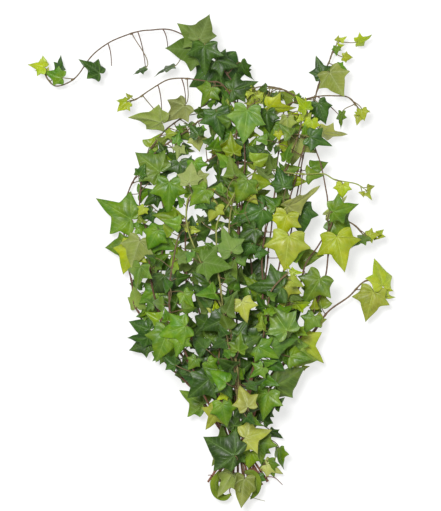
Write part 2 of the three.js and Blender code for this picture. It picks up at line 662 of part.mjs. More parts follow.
function placedAt(leaf, [climb, turn, size]) {
  const placed = { ...leaf, base: leaf.base.clone() };
  placed.base.z += leaf.byRule ? -climb : climb;
  placed.roll += turn;
  placed.length *= size;
  setAxes(placed);
  return placed;
}

function boxesMeet(a, b) {
  return [0, 1, 2].every((k) => a.min[k] <= b.max[k] && b.min[k] <= a.max[k]);
}

function obstacle(solid, node) {
  return { solid, node, box: solid.boundingBox() };
}

function meetsAny(solid, skip) {
  const box = solid.boundingBox();
  return obstacles.some((other) => {
    if (skip(other) || !boxesMeet(box, other.box)) return false;
    return !solid.intersect(other.solid).isEmpty();
  });
}

packStems();
const stems = TRAILS.map((trail, i) => stemLine(trail, i));
const obstacles = [];
stems.forEach((stem, node) => {
  for (let i = 0; i + 1 < stem.points.length; i += 1) {
    const runs = [stem.runs[i], stem.runs[i + 1]];
    obstacles.push({ ...obstacle(stemTube(stem, i, i + 2), node), runs });
  }
});

// Leaves take their places in this order: flat ones, listed ones, then those added by rule
const waiting = TRAILS.flatMap((trail, node) =>
  leavesOf(trail, stems[node], TRAIL_SEEDS * (node + 1)).map((leaf) => ({ leaf, node })));
const rank = ({ leaf }) => (leaf.rests ? 0 : 1) + (leaf.byRule ? 1 : 0);
waiting.sort((a, b) => rank(a) - rank(b));

// The first place where a leaf clears the surface and all that isn't its own foot, if any
function freePlace(leaf, node) {
  const isOwnFoot = (other) => other.node === node && other.runs
    && leaf.run > other.runs[0] - NODE_GAP && leaf.run < other.runs[1] + NODE_GAP;
  const places = leaf.rests ? TRIES.slice(0, 1) : TRIES;
  return places.map((place) => () => placedAt(leaf, place)).find((make) => {
    const roomy = leafSolid(make(), CLEARANCE);
    const isLow = !leaf.rests && roomy.boundingBox().min[2] + CLEARANCE < FLOOR_CLEAR;
    return !isLow && !meetsAny(roomy, isOwnFoot);
  })?.();
}

const pieces = stems.map((stem) => [stemTube(stem)]);
waiting.forEach(({ leaf, node }) => {
  const placed = freePlace(leaf, node);
  if (!placed) return;
  const solid = leafSolid(placed);
  obstacles.push(obstacle(solid, node));
  pieces[node].push(solid);
});

// The tie band, an oval ring
function tieBand() {
  const vertices = [];
  const corners = [[0, -1], [1, -1], [1, 1], [0, 1]];
  for (let i = 0; i < BAND.steps; i += 1) {
    const angle = 2 * Math.PI * i / BAND.steps;
    corners.forEach(([out, end]) => {
      vertices.push(new THREE.Vector3(
        TIE.x + (BAND.innerX + out * BAND.thick) * Math.cos(angle),
        TIE.y + end * BAND.width / 2,
        TIE.z + (BAND.innerZ + out * BAND.thick) * Math.sin(angle)));
    });
  }
  const triangles = [];
  for (let i = 0; i < BAND.steps; i += 1) {
    const next = (i + 1) % BAND.steps;
    for (let k = 0; k < 4; k += 1) {
      const a = 4 * i + k;
      const b = 4 * i + (k + 1) % 4;
      const c = 4 * next + (k + 1) % 4;
      const d = 4 * next + k;
      triangles.push([a, b, c], [a, c, d]);
    }
  }
  return solidFrom(vertices, triangles);
}

// A named mesh from a solid
function meshFrom(solid, name, look) {
  const { vertProperties, triVerts, numProp } = solid.getMesh();
  const count = vertProperties.length / numProp;
  const positions = new Float32Array(count * 3);
  for (let i = 0; i < count; i += 1) {
    for (let k = 0; k < 3; k += 1) positions[3 * i + k] = vertProperties[numProp * i + k];
  }
  const geometry = new THREE.BufferGeometry();
  geometry.setAttribute('position', new THREE.BufferAttribute(positions, 3));
  geometry.setIndex(new THREE.BufferAttribute(triVerts, 1));
  const mesh = new THREE.Mesh(geometry, new THREE.MeshStandardMaterial(look));
  mesh.name = name;
  return mesh;
}

function lookOf(trail) {
  const tones = trail.leaves.map((leaf) => leaf.at(-1));
  const mean = tones.reduce((sum, tone) => sum + tone, 0) / Math.max(tones.length, 1);
  if (mean < DEEP_UP_TO) return LOOK.deep;
  return mean < MID_UP_TO ? LOOK.mid : LOOK.young;
}

const group = new THREE.Group();
TRAILS.forEach((trail, node) => {
  group.add(meshFrom(wasm.Manifold.union(pieces[node]), trail.name, lookOf(trail)));
});
group.add(meshFrom(tieBand(), 'tie_band', LOOK.band));

export default group;
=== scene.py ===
"""A bunch of cut ivy trails, tied near the cut ends and laid down, seen from straight above.
Lengths are in millimetres until a mesh is made. Each trail is one piece: a woody stem with
its buds, and the petioles and lobed leaves that grow from it. The first half works out each
stem and leaf of the solids again, and the second half makes the fine ones in their places."""

import math

import bpy
import numpy as np
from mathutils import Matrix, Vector, kdtree
from mathutils.bvhtree import BVHTree


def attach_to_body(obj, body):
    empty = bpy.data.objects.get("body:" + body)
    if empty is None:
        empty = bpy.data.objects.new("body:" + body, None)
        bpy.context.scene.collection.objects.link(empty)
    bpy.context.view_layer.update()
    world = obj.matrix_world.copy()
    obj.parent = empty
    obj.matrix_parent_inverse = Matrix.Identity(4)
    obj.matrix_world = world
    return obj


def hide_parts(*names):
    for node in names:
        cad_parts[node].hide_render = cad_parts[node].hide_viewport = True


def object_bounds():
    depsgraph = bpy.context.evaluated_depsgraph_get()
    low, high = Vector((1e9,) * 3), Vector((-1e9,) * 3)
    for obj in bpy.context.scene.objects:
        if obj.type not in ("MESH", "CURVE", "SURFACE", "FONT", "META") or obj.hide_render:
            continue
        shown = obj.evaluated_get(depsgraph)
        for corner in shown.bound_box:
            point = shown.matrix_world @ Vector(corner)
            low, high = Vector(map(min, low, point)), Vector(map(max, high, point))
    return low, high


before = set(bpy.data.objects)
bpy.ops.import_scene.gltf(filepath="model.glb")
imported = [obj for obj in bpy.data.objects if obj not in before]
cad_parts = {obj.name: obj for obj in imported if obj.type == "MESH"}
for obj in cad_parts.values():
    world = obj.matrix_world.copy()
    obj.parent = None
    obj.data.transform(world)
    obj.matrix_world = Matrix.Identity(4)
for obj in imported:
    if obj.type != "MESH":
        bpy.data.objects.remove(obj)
cad_low, cad_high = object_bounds()

METRES = 0.001
cad_top = cad_high[2] / METRES

# Where the stems are tied together, and how they pack there
TIE = {"x": 30, "y": -226, "z": 10.9}
STEM_PITCH = 3.45
ROW_SIZES = [4, 5, 6, 5, 4]
ROW_RISE = STEM_PITCH * math.sqrt(3) / 2
TIE_BLEND = 75
TIE_STEPS = 4
CUT_SPLAY = 4.2
CUT_LENGTH = (26, 46)
BAND = {"inner_x": 11.2, "inner_z": 9.4, "thick": 1.2, "width": 3.2}

# Height of the pile: its lowest stem, the edge's thickness and the middle's extra thickness
PILE = {"floor": 6, "edge": 34, "crown": 58, "x": 14, "y": -20, "spread_x": 150, "spread_y": 200}

# Stems
STEM_RADIUS = {"root": 1.5, "tip": 0.85}
STEM_TAPER_LENGTH = 420
RING_GAP = {"least": 11, "most": 46}
RING_BEND = 13
ROUTE_SAMPLES = 6

# Leaves
BLADE_THICK = 0.8
PETIOLE_HALF = 0.5
PETIOLE_SHARE = 0.5
NODE_STEP = 2
NODE_GAP = 6
PETIOLE_BEND = 0.3
PETIOLE_RISE = 0.12
LEAF_LIFT = 9
REST_HEIGHT = BLADE_THICK / 2
REST_EXTRA = 8

# How leaves differ: bends of the blade in leaf lengths, breadth, slant of the side lobes and
# depth of the last sinus
SHAPE = {
    "fold": (0.06, 0.2), "curl": (0.05, 0.18), "wing": (0.1, 0.35), "twist": (-0.12, 0.12),
    "width": (0.92, 1.14), "skew": (-0.07, 0.07), "depth": (0.75, 1.25),
}
FLAT = {"fold": 0, "curl": 0, "wing": 0, "twist": 0, "width": 1, "skew": 0, "depth": 1}

# Half of a leaf's outline from its notch to its tip, in leaf lengths: basal lobe, first
# sinus, side lobe, second sinus. The plainer leaf has one side lobe.
FIVE_LOBES = [(0.4, -0.13), (0.44, 0.08), (0.6, 0.32), (0.32, 0.47)]
THREE_LOBES = [(0.53, 0.07), (0.32, 0.42)]
SIDE_LOBE = {5: 2, 3: 0}

# Leaves that the list doesn't name, placed by rule along each stem inside the bunch's outline
FILL = {
    "first": 30, "gap": 52, "clear": 20, "tie_clear": 13, "length": (27, 41),
    "petiole": (14, 26), "spread": (45, 80), "roll": (-25, 25), "pitch": (-15, 15),
    "bend": 12, "shrink": 0.45,
}
FILL_OUTLINE = [
    (0, -215), (-28, -185), (-49, -149), (-76, -113), (-102, -89), (-100, -47), (-102, 13),
    (-110, 45), (-105, 95), (-76, 145), (-50, 180), (-16, 215), (20, 240), (50, 211),
    (104, 199), (140, 170), (150, 120), (140, 73), (158, 13), (146, -35), (140, -83),
    (131, -131), (92, -167), (71, -203)]

# Places that a leaf may have taken: higher or lower, rolled, smaller
TRY_CLIMBS = [0, 4, 8, -4, 12, 16, -8, 20, 24, -12, 28, 32, -16, 36, -20, 42, -26, 50]
TRY_TURNS = [0, 22, -22, 45, -45]
TRY_SIZES = [1, 0.86]
FOUND_WITHIN = 0.06

# Each trail has its own run of seeds, and its added leaves start further along it
TRAIL_SEEDS = 100
FIRST_FILL_SEED = 20

# Leaf tones: deep green, mid green, young yellow-green, pale
DEEP = 0
MID = 1
YOUNG = 2
PALE = 3

# Trails, ivy_trail_01 first. level: place in the pile, 0 lowest. route: the stem's way in plan
# from above the tie to its tip. leaves: [base x, base y, tip x, tip y, roll, pitch, tone],
# where roll 180 shows the underside. rest: leaves that lie flat on the surface, [base x,
# base y, tip x, tip y].
TRAILS = [
  {
    "level": 10,
    "route": [[28, -47], [32, 37], [30, 109], [28, 169], [29, 203], [11, 234], [-12, 259],
      [-49, 278], [-76, 279], [-91, 277], [-108, 271], [-127, 263], [-144, 250], [-162, 226],
      [-176, 215], [-190, 211], [-200, 220], [-205, 232]],
    "leaves": [[-203, 233, -223, 239, 30, 0, YOUNG], [-182, 221, -205, 227, -20, 0, MID],
      [-187, 230, -180, 248, 55, 0, DEEP], [-137, 226, -160, 244, 35, 15, DEEP],
      [-82, 232, -97, 225, 65, 0, DEEP], [-49, 233, -73, 226, 70, 0, DEEP],
      [-14, 254, -58, 256, 180, 0, DEEP], [-17, 265, -43, 286, 170, 0, MID],
      [-16, 266, -3, 295, 170, 0, MID], [-10, 258, -12, 222, 20, 0, DEEP],
      [4, 241, 32, 234, -15, 0, DEEP], [34, 238, 44, 215, 50, 0, DEEP],
      [4, 240, 19, 182, 0, 0, DEEP], [23, 205, 55, 216, 0, 0, DEEP]],
  },
  {
    "level": 14,
    "route": [[6, -143], [18, -47], [32, 49], [38, 133], [30, 181], [11, 212], [-5, 216], [-22, 219],
      [-38, 220], [-54, 218], [-67, 212], [-78, 205], [-90, 196], [-103, 191]],
    "leaves": [[-103, 191, -116, 180, 20, 0, YOUNG], [-62, 166, -99, 180, 135, 0, PALE],
      [-34, 187, -60, 167, 165, -10, PALE], [-2, 208, -16, 186, 10, 0, MID]],
  },
  {
    "level": 3,
    "route": [[-10, -173], [-31, -148], [-56, -124], [-77, -97], [-88, -67], [-95, -53], [-98, -29],
      [-106, 7], [-108, 43], [-106, 67], [-102, 85], [-89, 109], [-79, 130], [-68, 145],
      [-54, 162], [-24, 181], [2, 194], [23, 202]],
    "leaves": [[-98, 50, -142, 76, 0, 0, MID], [-103, 18, -131, 17, 10, 0, MID],
      [-96, 18, -110, -16, 10, 0, YOUNG], [-88, 25, -100, -8, 170, 0, PALE],
      [-66, -35, -90, -52, 0, 0, MID], [-68, -18, -86, -32, 160, 0, PALE],
      [-78, -100, -102, -108, 0, 0, DEEP]],
    "rest": [[-78, -52, -52, -44]],
  },
  {
    "level": 8,
    "route": [[-4, -149], [-42, -107], [-66, -59], [-76, -11], [-79, 31], [-88, 67], [-85, 103],
      [-73, 127], [-44, 149], [-30, 158], [-16, 169], [0, 175], [18, 181]],
    "leaves": [[-64, 107, -94, 131, 0, 0, MID], [-66, 37, -80, 13, 10, 0, MID],
      [-59, 131, -66, 145, 20, 0, DEEP], [-44, 142, -40, 156, 10, 0, MID],
      [-40, 138, -44, 121, 170, 0, PALE], [-20, 151, -16, 131, 0, 0, PALE],
      [-18, 150, -28, 164, 15, 0, DEEP], [-86, -6, -94, -36, 40, 0, MID]],
  },
  {
    "level": 11,
    "route": [[-3, -143], [-28, -83], [-32, -11], [-32, 55], [-22, 100], [-13, 115], [12, 134],
      [24, 148], [36, 167], [42, 184], [59, 196]],
    "leaves": [[-52, 95, -54, 53, 0, 0, MID], [-40, 118, -36, 92, 0, 0, DEEP],
      [-22, 119, -16, 97, 20, 0, MID], [-30, 111, -46, 88, 0, 0, DEEP],
      [4, 179, 10, 145, 10, 0, DEEP], [41, 181, 36, 139, 0, 0, MID],
      [42, 138, 14, 116, 0, 0, DEEP]],
  },
  {
    "level": 16,
    "route": [[44, -143], [66, -71], [80, 1], [92, 73], [108, 133], [114, 169], [104, 193],
      [88, 205], [71, 209], [54, 209], [42, 203]],
    "leaves": [[66, 185, 100, 179, 40, 0, YOUNG], [89, 172, 88, 150, 160, 0, PALE],
      [78, 154, 79, 143, 0, 0, YOUNG], [118, 169, 116, 149, 0, 0, YOUNG],
      [77, 136, 73, 127, 40, 0, DEEP], [72, 166, 64, 136, 10, 0, MID]],
  },
  {
    "level": 7,
    "route": [[50, -131], [74, -59], [90, 13], [100, 73], [108, 121], [115, 157], [122, 192],
      [131, 222], [140, 241], [146, 256], [152, 265]],
    "leaves": [[132, 223, 124, 248, 0, 0, DEEP], [140, 227, 158, 197, 180, 0, PALE],
      [157, 246, 169, 245, 20, 0, YOUNG], [150, 234, 163, 229, 0, 0, MID],
      [149, 258, 148, 247, 30, 0, MID], [174, 264, 193, 270, 50, 0, YOUNG]],
  },
  {
    "level": 13,
    "route": [[59, -47], [68, 25], [74, 85], [80, 145], [84, 175], [90, 188], [108, 194], [126, 198],
      [146, 199], [162, 198], [172, 188], [179, 178]],
    "leaves": [[155, 178, 152, 158, 60, 0, MID], [179, 182, 182, 168, 20, 0, YOUNG],
      [126, 190, 136, 164, 0, 0, DEEP], [115, 148, 143, 137, 0, 0, DEEP],
      [131, 156, 161, 148, 60, 0, PALE]],
  },
  {
    "level": 18,
    "route": [[32, -131], [20, -47], [18, 25], [26, 79], [44, 102], [62, 108], [86, 106], [110, 104],
      [133, 104], [145, 98], [160, 95], [173, 92], [184, 85]],
    "leaves": [[84, 88, 77, 114, 0, 0, DEEP], [88, 66, 131, 82, 60, 0, PALE],
      [104, 65, 107, 29, 0, 0, DEEP], [36, 85, 54, 67, 20, 0, YOUNG],
      [155, 92, 154, 74, 10, 0, YOUNG]],
  },
  {
    "level": 15,
    "route": [[59, -149], [80, -101], [86, -61], [95, -46], [104, -28], [112, -2], [127, 20],
      [142, 44], [138, 66], [137, 79], [132, 103], [128, 121], [124, 132], [118, 149], [110, 167],
      [104, 179]],
    "leaves": [[104, 148, 94, 113, 180, 0, PALE], [137, 56, 164, 73, 60, 0, PALE],
      [143, 59, 175, 66, 20, 0, MID], [128, -20, 106, -56, 0, 0, MID],
      [54, -258, 52, -276, 0, 0, DEEP], [56, -214, 58, -246, 0, 0, MID],
      [85, -23, 82, -60, 0, 0, YOUNG], [88, -26, 101, -17, 0, 0, YOUNG]],
  },
  {
    "level": 12,
    "route": [[59, -157], [86, -119], [110, -83], [126, -47], [136, -16], [138, 6], [140, 25],
      [144, 42], [158, 48], [172, 42], [184, 30], [198, 31]],
    "leaves": [[148, 30, 158, -14, 0, 0, YOUNG], [144, 49, 169, 30, 0, 0, MID],
      [184, 29, 164, 18, 60, 0, MID], [186, 30, 202, 32, 0, 0, YOUNG],
      [121, -66, 109, -88, 0, 0, MID], [64, -246, 85, -258, 0, 0, PALE]],
  },
  {
    "level": 6,
    "route": [[62, -167], [82, -131], [96, -109], [109, -95], [122, -85], [139, -61], [164, -43],
      [182, -25], [196, -24], [206, -37]],
    "leaves": [[204, -30, 198, 4, 35, 0, YOUNG], [193, -36, 184, -74, 0, 0, YOUNG],
      [203, -40, 219, -48, 50, 0, YOUNG], [104, -94, 134, -124, 0, 0, YOUNG]],
    "rest": [[84, -78, 104, -58]],
  },
  {
    "level": 9,
    "route": [[26, -131], [23, -47], [28, 25], [42, 85], [59, 133], [66, 169], [50, 193]],
    "leaves": [[52, 205, 41, 176, 15, 0, YOUNG], [65, 179, 66, 152, 30, 0, DEEP],
      [47, 179, 54, 160, 0, 0, DEEP], [62, 133, 44, 121, 0, 0, DEEP],
      [64, 124, 54, 110, 0, 0, YOUNG]],
  },
  {
    "level": 17,
    "route": [[50, -119], [59, -47], [59, 13], [68, 55], [80, 102], [89, 113], [102, 151],
      [107, 169]],
    "leaves": [[88, 56, 80, 25, 0, 0, YOUNG], [90, 30, 85, -13, 0, 0, YOUNG],
      [59, 61, 18, 42, 0, 0, DEEP], [50, 38, 26, 22, 15, 0, DEEP], [46, 20, 34, 4, 0, 0, DEEP],
      [52, 10, 68, 10, 0, 0, DEEP], [82, -31, 40, -31, 0, 0, DEEP]],
  },
  {
    "level": 5,
    "route": [[-16, -155], [-49, -107], [-64, -71], [-70, -35], [-61, 13], [-58, 49], [-64, 85]],
    "leaves": [[-76, 30, -42, 13, 0, 0, MID], [-76, 4, -42, -11, 0, 0, MID],
      [-64, -42, -41, -56, 0, 0, MID], [-58, -17, -40, -55, 30, 0, DEEP],
      [-73, 59, -92, 47, 0, 0, DEEP], [-67, 79, -85, 66, 0, 0, DEEP],
      [-82, 64, -90, 54, 0, 0, YOUNG]],
  },
  {
    "level": 19,
    "route": [[-10, -161], [-28, -119], [-49, -77], [-52, -35], [-46, 7], [-40, 31], [-30, 40]],
    "leaves": [[-54, -83, -68, -121, 0, 0, MID], [-32, -77, -68, -90, 0, 0, MID],
      [-35, -38, -22, -56, 0, 0, MID], [-4, -140, -31, -164, 0, 0, DEEP],
      [-6, -128, -36, -136, 0, 0, DEEP], [-37, -90, -44, -115, 0, 0, MID],
      [-20, -116, -30, -130, 0, 0, MID]],
  },
  {
    "level": 23,
    "route": [[30, -143], [22, -91], [14, -62], [1, -35], [-10, -11], [-22, 16], [-30, 40],
      [-32, 59], [-28, 76], [-18, 80], [-4, 78]],
    "leaves": [[34, -47, 41, -74, 0, 0, PALE], [-12, -1, 24, -8, 180, 0, DEEP],
      [5, 66, -5, 46, 0, 0, YOUNG], [-2, 70, -13, 59, 0, 0, DEEP],
      [-28, 92, -24, 118, 170, 0, PALE], [-19, 100, -5, 85, 180, 0, PALE],
      [38, -262, 32, -297, 170, 0, PALE]],
  },
  {
    "level": 22,
    "route": [[28, -149], [16, -83], [5, -1], [4, 25], [6, 47], [20, 70], [34, 95], [42, 96],
      [47, 85]],
    "leaves": [[22, 11, 10, 42, 180, 0, MID], [-8, 84, -30, 66, 20, 0, MID],
      [41, 95, 28, 67, 0, 0, MID]],
  },
  {
    "level": 21,
    "route": [[44, -149], [59, -95], [66, -47], [74, -29], [92, -11]],
    "leaves": [[88, -83, 65, -50, 0, 0, MID], [52, -101, 79, -116, 0, 0, MID],
      [41, -173, 32, -146, 10, 0, PALE], [59, -126, 43, -139, 0, 0, MID],
      [38, -212, 71, -203, 0, 0, PALE]],
  },
  {
    "level": 4,
    "route": [[-16, -167], [-34, -137], [-58, -109], [-82, -92]],
    "leaves": [[-12, -173, -41, -156, 0, 0, MID], [-76, -83, -102, -73, 0, 0, DEEP],
      [-78, -92, -103, -95, -30, 0, DEEP], [-50, -100, -66, -124, 20, 0, MID]],
  },
  {
    "level": 2,
    "route": [[68, -173], [86, -149], [104, -131]],
    "leaves": [[74, -149, 113, -130, 40, 0, MID], [66, -157, 58, -191, 20, 0, MID],
      [64, -175, 52, -197, 0, 0, DEEP], [70, -205, 84, -216, 50, 0, DEEP],
      [80, -227, 82, -253, 60, 0, MID]],
  },
  {
    "level": 20,
    "route": [[20, -143], [14, -95], [2, -59]],
    "leaves": [[11, -169, 17, -199, 0, 0, MID], [-6, -119, 7, -132, 10, 0, MID],
      [11, -143, 23, -164, 0, 0, DEEP], [16, -158, 4, -166, 0, 0, YOUNG],
      [6, -178, -9, -202, 0, 0, YOUNG], [14, -68, -16, -83, 0, 0, DEEP],
      [26, -233, -12, -211, 0, 0, DEEP]],
  },
  {
    "level": 1,
    "route": [[32, -137], [36, -95], [44, -65], [46, 0], [30, 60], [22, 100]],
    "leaves": [],
    "rest": [[30, 84, 8, 100], [46, -20, 60, 2]],
  },
  {
    "level": 0,
    "route": [[24, -170], [4, -120], [-14, -70], [-24, -20], [-20, 40]],
    "leaves": [[24, -256, 4, -284, 170, 0, PALE]],
    "rest": [[2, -150, 24, -162], [-24, 34, -46, 44]],
  },
]
for i, trail in enumerate(TRAILS):
    trail["name"] = f"ivy_trail_{i + 1:02d}"


def draw(seed):
    """A repeatable draw between 0 and 1."""
    wave = math.sin(seed * 127.1 + 311.7) * 43758.5453
    return wave - math.floor(wave)


def between(span, share):
    return span[0] + (span[1] - span[0]) * share


def smooth_step(share):
    t = np.clip(share, 0, 1)
    return t * t * (3 - 2 * t)


def unit(vector):
    return vector / np.linalg.norm(vector)


def outward(heading):
    """The level direction at a heading in degrees."""
    bearing = math.radians(heading)
    return np.array([math.cos(bearing), math.sin(bearing), 0])


def pile_thickness(x, y):
    """Thickness of the pile at a place in plan."""
    fade_x = np.exp(-(((x - PILE["x"]) / PILE["spread_x"]) ** 2))
    fade_y = np.exp(-(((y - PILE["y"]) / PILE["spread_y"]) ** 4))
    return PILE["edge"] + PILE["crown"] * fade_x * fade_y


def pack_stems():
    """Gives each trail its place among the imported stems: rows by level, then left to right."""
    by_level = sorted(TRAILS, key=lambda trail: trail["level"])

    def slant(trail):
        x, y = trail["route"][0]
        return (x - TIE["x"]) / (y - TIE["y"])

    first = 0
    for row, size in enumerate(ROW_SIZES):
        members = sorted(by_level[first:first + size], key=slant)
        for column, trail in enumerate(members):
            trail["pack_x"] = (column - (size - 1) / 2) * STEM_PITCH
            trail["pack_z"] = (row - (len(ROW_SIZES) - 1) / 2) * ROW_RISE
        first += size


def spline(points, per_stretch):
    """Points on a uniform Catmull-Rom curve, whose ends run on straight."""
    points = np.array(points, float)
    before = 2 * points[0] - points[1]
    after = 2 * points[-1] - points[-2]
    guide = np.vstack([before, points, after])
    made = []
    for i in range(len(points) - 1):
        a, b, c, d = guide[i:i + 4]
        shares = np.arange(per_stretch) / per_stretch
        for t in shares:
            start = (c - a) / 2
            end = (d - b) / 2
            rest = (-3 * b + 3 * c - 2 * start - end) * t * t
            made.append(b + start * t + rest + (2 * b - 2 * c + start + end) * t ** 3)
    made.append(points[-1])
    return np.array(made)


def crossing(points, y):
    """Where a line first crosses a given y."""
    i = int(np.argmax(points[:, 1] >= y))
    if i < 1:
        return points[0]
    share = (y - points[i - 1, 1]) / (points[i, 1] - points[i - 1, 1])
    return points[i - 1] + (points[i] - points[i - 1]) * share


def sparse(points):
    """A line thinned to a point at each bend, and none further apart than the longest gap."""
    kept = [points[0]]
    end = points[-1]
    bend = 0
    for i in range(1, len(points) - 1):
        before = unit(points[i] - points[i - 1])
        after = unit(points[i + 1] - points[i])
        bend += math.degrees(math.acos(np.clip(before @ after, -1, 1)))
        gap = np.linalg.norm(points[i] - kept[-1])
        room = np.linalg.norm(points[i] - end)
        is_due = bend > RING_BEND or gap > RING_GAP["most"]
        if is_due and gap > RING_GAP["least"] and room > RING_GAP["least"]:
            kept.append(points[i])
            bend = 0
    return np.array([*kept, end])


def lifted(trail, plan):
    """A stem's line in plan, with its height in the pile at each point."""
    lift = smooth_step((plan[:, 1] - TIE["y"]) / TIE_BLEND)
    climb = trail["level"] / (len(TRAILS) - 1) * pile_thickness(plan[:, 0], plan[:, 1])
    z = (TIE["z"] + trail["pack_z"]) * (1 - lift) + (PILE["floor"] + climb) * lift
    return np.column_stack([plan, z])


def with_runs(points):
    steps = np.linalg.norm(np.diff(points, axis=0), axis=1)
    runs = np.concatenate([[0], np.cumsum(steps)])
    return {"points": points, "runs": runs, "length": runs[-1]}


def stem_lines(trail, seed):
    """A stem's centre line as the solid has it, straight between its rings, and its smooth one."""
    cut = between(CUT_LENGTH, draw(seed))
    cut_end = np.array([TIE["x"] + trail["pack_x"] * CUT_SPLAY, TIE["y"] - cut])
    plan = [(TIE["x"] + trail["pack_x"], TIE["y"]), *trail["route"]]
    samples = spline(plan, ROUTE_SAMPLES)
    packed = [crossing(samples, TIE["y"] + TIE_BLEND * i / TIE_STEPS) for i in range(TIE_STEPS + 1)]
    free = samples[samples[:, 1] > TIE["y"] + TIE_BLEND]
    rings = np.vstack([cut_end, packed[:-1], sparse(np.vstack([packed[-1], free]))])
    smooth = np.vstack([cut_end, (cut_end + plan[0]) / 2, spline(plan, 4 * ROUTE_SAMPLES)])
    return with_runs(lifted(trail, rings)), with_runs(lifted(trail, smooth))


def along_line(line, run):
    """Point and direction at a run along a line."""
    goal = min(max(run, 0), line["length"])
    i = 1
    while i < len(line["runs"]) - 1 and line["runs"][i] < goal:
        i += 1
    start, end = line["points"][i - 1], line["points"][i]
    share = (goal - line["runs"][i - 1]) / (line["runs"][i] - line["runs"][i - 1])
    return start + (end - start) * share, unit(end - start)


def set_axes(leaf):
    """A leaf's axes: along its midrib, across it, and out of its upper face."""
    heading = math.radians(leaf["heading"])
    roll = math.radians(leaf["roll"])
    pitch = math.radians(leaf["pitch"])
    along = np.array([
        math.cos(heading) * math.cos(pitch),
        math.sin(heading) * math.cos(pitch),
        math.sin(pitch)])
    level = np.array([-math.sin(heading), math.cos(heading), 0])
    up = np.cross(along, level)
    leaf["along"] = along
    leaf["across"] = level * math.cos(roll) + up * math.sin(roll)
    leaf["normal"] = np.cross(along, leaf["across"])


def key_points(leaf):
    """The corners of a leaf's outline from the right of its notch round its tip to the left."""
    half = FIVE_LOBES if leaf["lobes"] == 5 else THREE_LOBES
    notch = PETIOLE_HALF / (leaf["length"] * leaf["width"])
    sides = []
    for sign in (1, -1):
        side = []
        for i, (u, v) in enumerate(half):
            if i == SIDE_LOBE[leaf["lobes"]]:
                side.append((sign * u, v + sign * leaf["skew"]))
            elif i == len(half) - 1:
                side.append((sign * u * leaf["depth"], v))
            else:
                side.append((sign * u, v))
        sides.append(side)
    return np.array([(notch, 0), *sides[0], (0, 1), *sides[1][::-1], (-notch, 0)])


def blade_points(leaf, uv, offset):
    """Points of a leaf's surface: u across and v along, in leaf lengths."""
    u, v = uv[:, 0], uv[:, 1]
    rise = leaf["fold"] * np.abs(u) - leaf["curl"] * v * v - leaf["wing"] * u * u + leaf["twist"] * u * v
    return (
        leaf["base"]
        + np.outer(v * leaf["length"], leaf["along"])
        + np.outer(u * leaf["width"] * leaf["length"], leaf["across"])
        + np.outer(rise * leaf["length"] + offset, leaf["normal"]))


def petiole_run(stem, base, length, used):
    """Where a leaf's petiole leaves the stem: back towards the root from the nearest point,
    clear of the tie and of the petioles already there."""
    def gap_at(run):
        point, _ = along_line(stem, run)
        return math.hypot(point[0] - base[0], point[1] - base[1])

    def is_clear(run):
        point, _ = along_line(stem, run)
        return (
            gap_at(run) >= PETIOLE_SHARE * length
            and abs(point[1] - TIE["y"]) > 2 * BAND["width"]
            and all(abs(other - run) >= NODE_GAP for other in used))

    run = stem["length"]
    at = stem["length"]
    while at > 0:
        if gap_at(at) < gap_at(run):
            run = at
        at -= NODE_STEP
    while not is_clear(run) and run > NODE_GAP:
        run -= NODE_STEP
    return run


def set_shape(leaf, seed):
    """How a leaf is bent and how broad it is, from its own draws."""
    for i, (key, span) in enumerate(SHAPE.items()):
        leaf[key] = between(span, draw(seed + (i + 1) / 10))


def is_inside(x, y, outline):
    """Whether a place lies inside an outline in plan."""
    inside = False
    for (ax, ay), (bx, by) in zip(outline, outline[1:] + outline[:1]):
        if (ay > y) != (by > y) and x < ax + (y - ay) / (by - ay) * (bx - ax):
            inside = not inside
    return inside


def attach(leaf, stem, used):
    """Finds where a leaf's petiole leaves the stem, and keeps that place for it."""
    leaf["run"] = petiole_run(stem, leaf["base"], leaf["length"], used)
    leaf["foot"] = along_line(stem, leaf["run"])[0]
    used.append(leaf["run"])


def leaf_between(bx, by, tx, ty, roll=0, pitch=0, tone=DEEP):
    return {
        "base": np.array([bx, by, REST_HEIGHT]),
        "heading": math.degrees(math.atan2(ty - by, tx - bx)),
        "length": math.hypot(tx - bx, ty - by) / math.cos(math.radians(pitch)),
        "roll": roll, "pitch": pitch, "tone": tone, "lobes": 5,
    }


def leaf_by_rule(stem, run, turn, seed):
    """The leaf that the rule adds at a run along a stem, on one side and the next on the other."""
    point, direction = along_line(stem, run)
    size = 1 - FILL["shrink"] * smooth_step(run / stem["length"])
    side = 1 if turn % 2 else -1
    way = math.degrees(math.atan2(direction[1], direction[0]))
    leaf = {
        "heading": way + side * between(FILL["spread"], draw(seed + 0.85)),
        "length": size * between(FILL["length"], draw(seed + 0.95)),
        "roll": between(FILL["roll"], draw(seed + 0.15)),
        "pitch": between(FILL["pitch"], draw(seed + 0.25)),
        "lobes": 3, "foot": point, "run": run, "by_rule": True,
        "tone": YOUNG if run > 0.75 * stem["length"] else DEEP,
    }
    reach = size * between(FILL["petiole"], draw(seed + 0.35))
    way_out = outward(leaf["heading"] + side * FILL["bend"])
    leaf["base"] = point + way_out * reach + [0, 0, LEAF_LIFT]
    leaf["tip"] = leaf["base"] + way_out * leaf["length"]
    set_shape(leaf, seed)
    return leaf


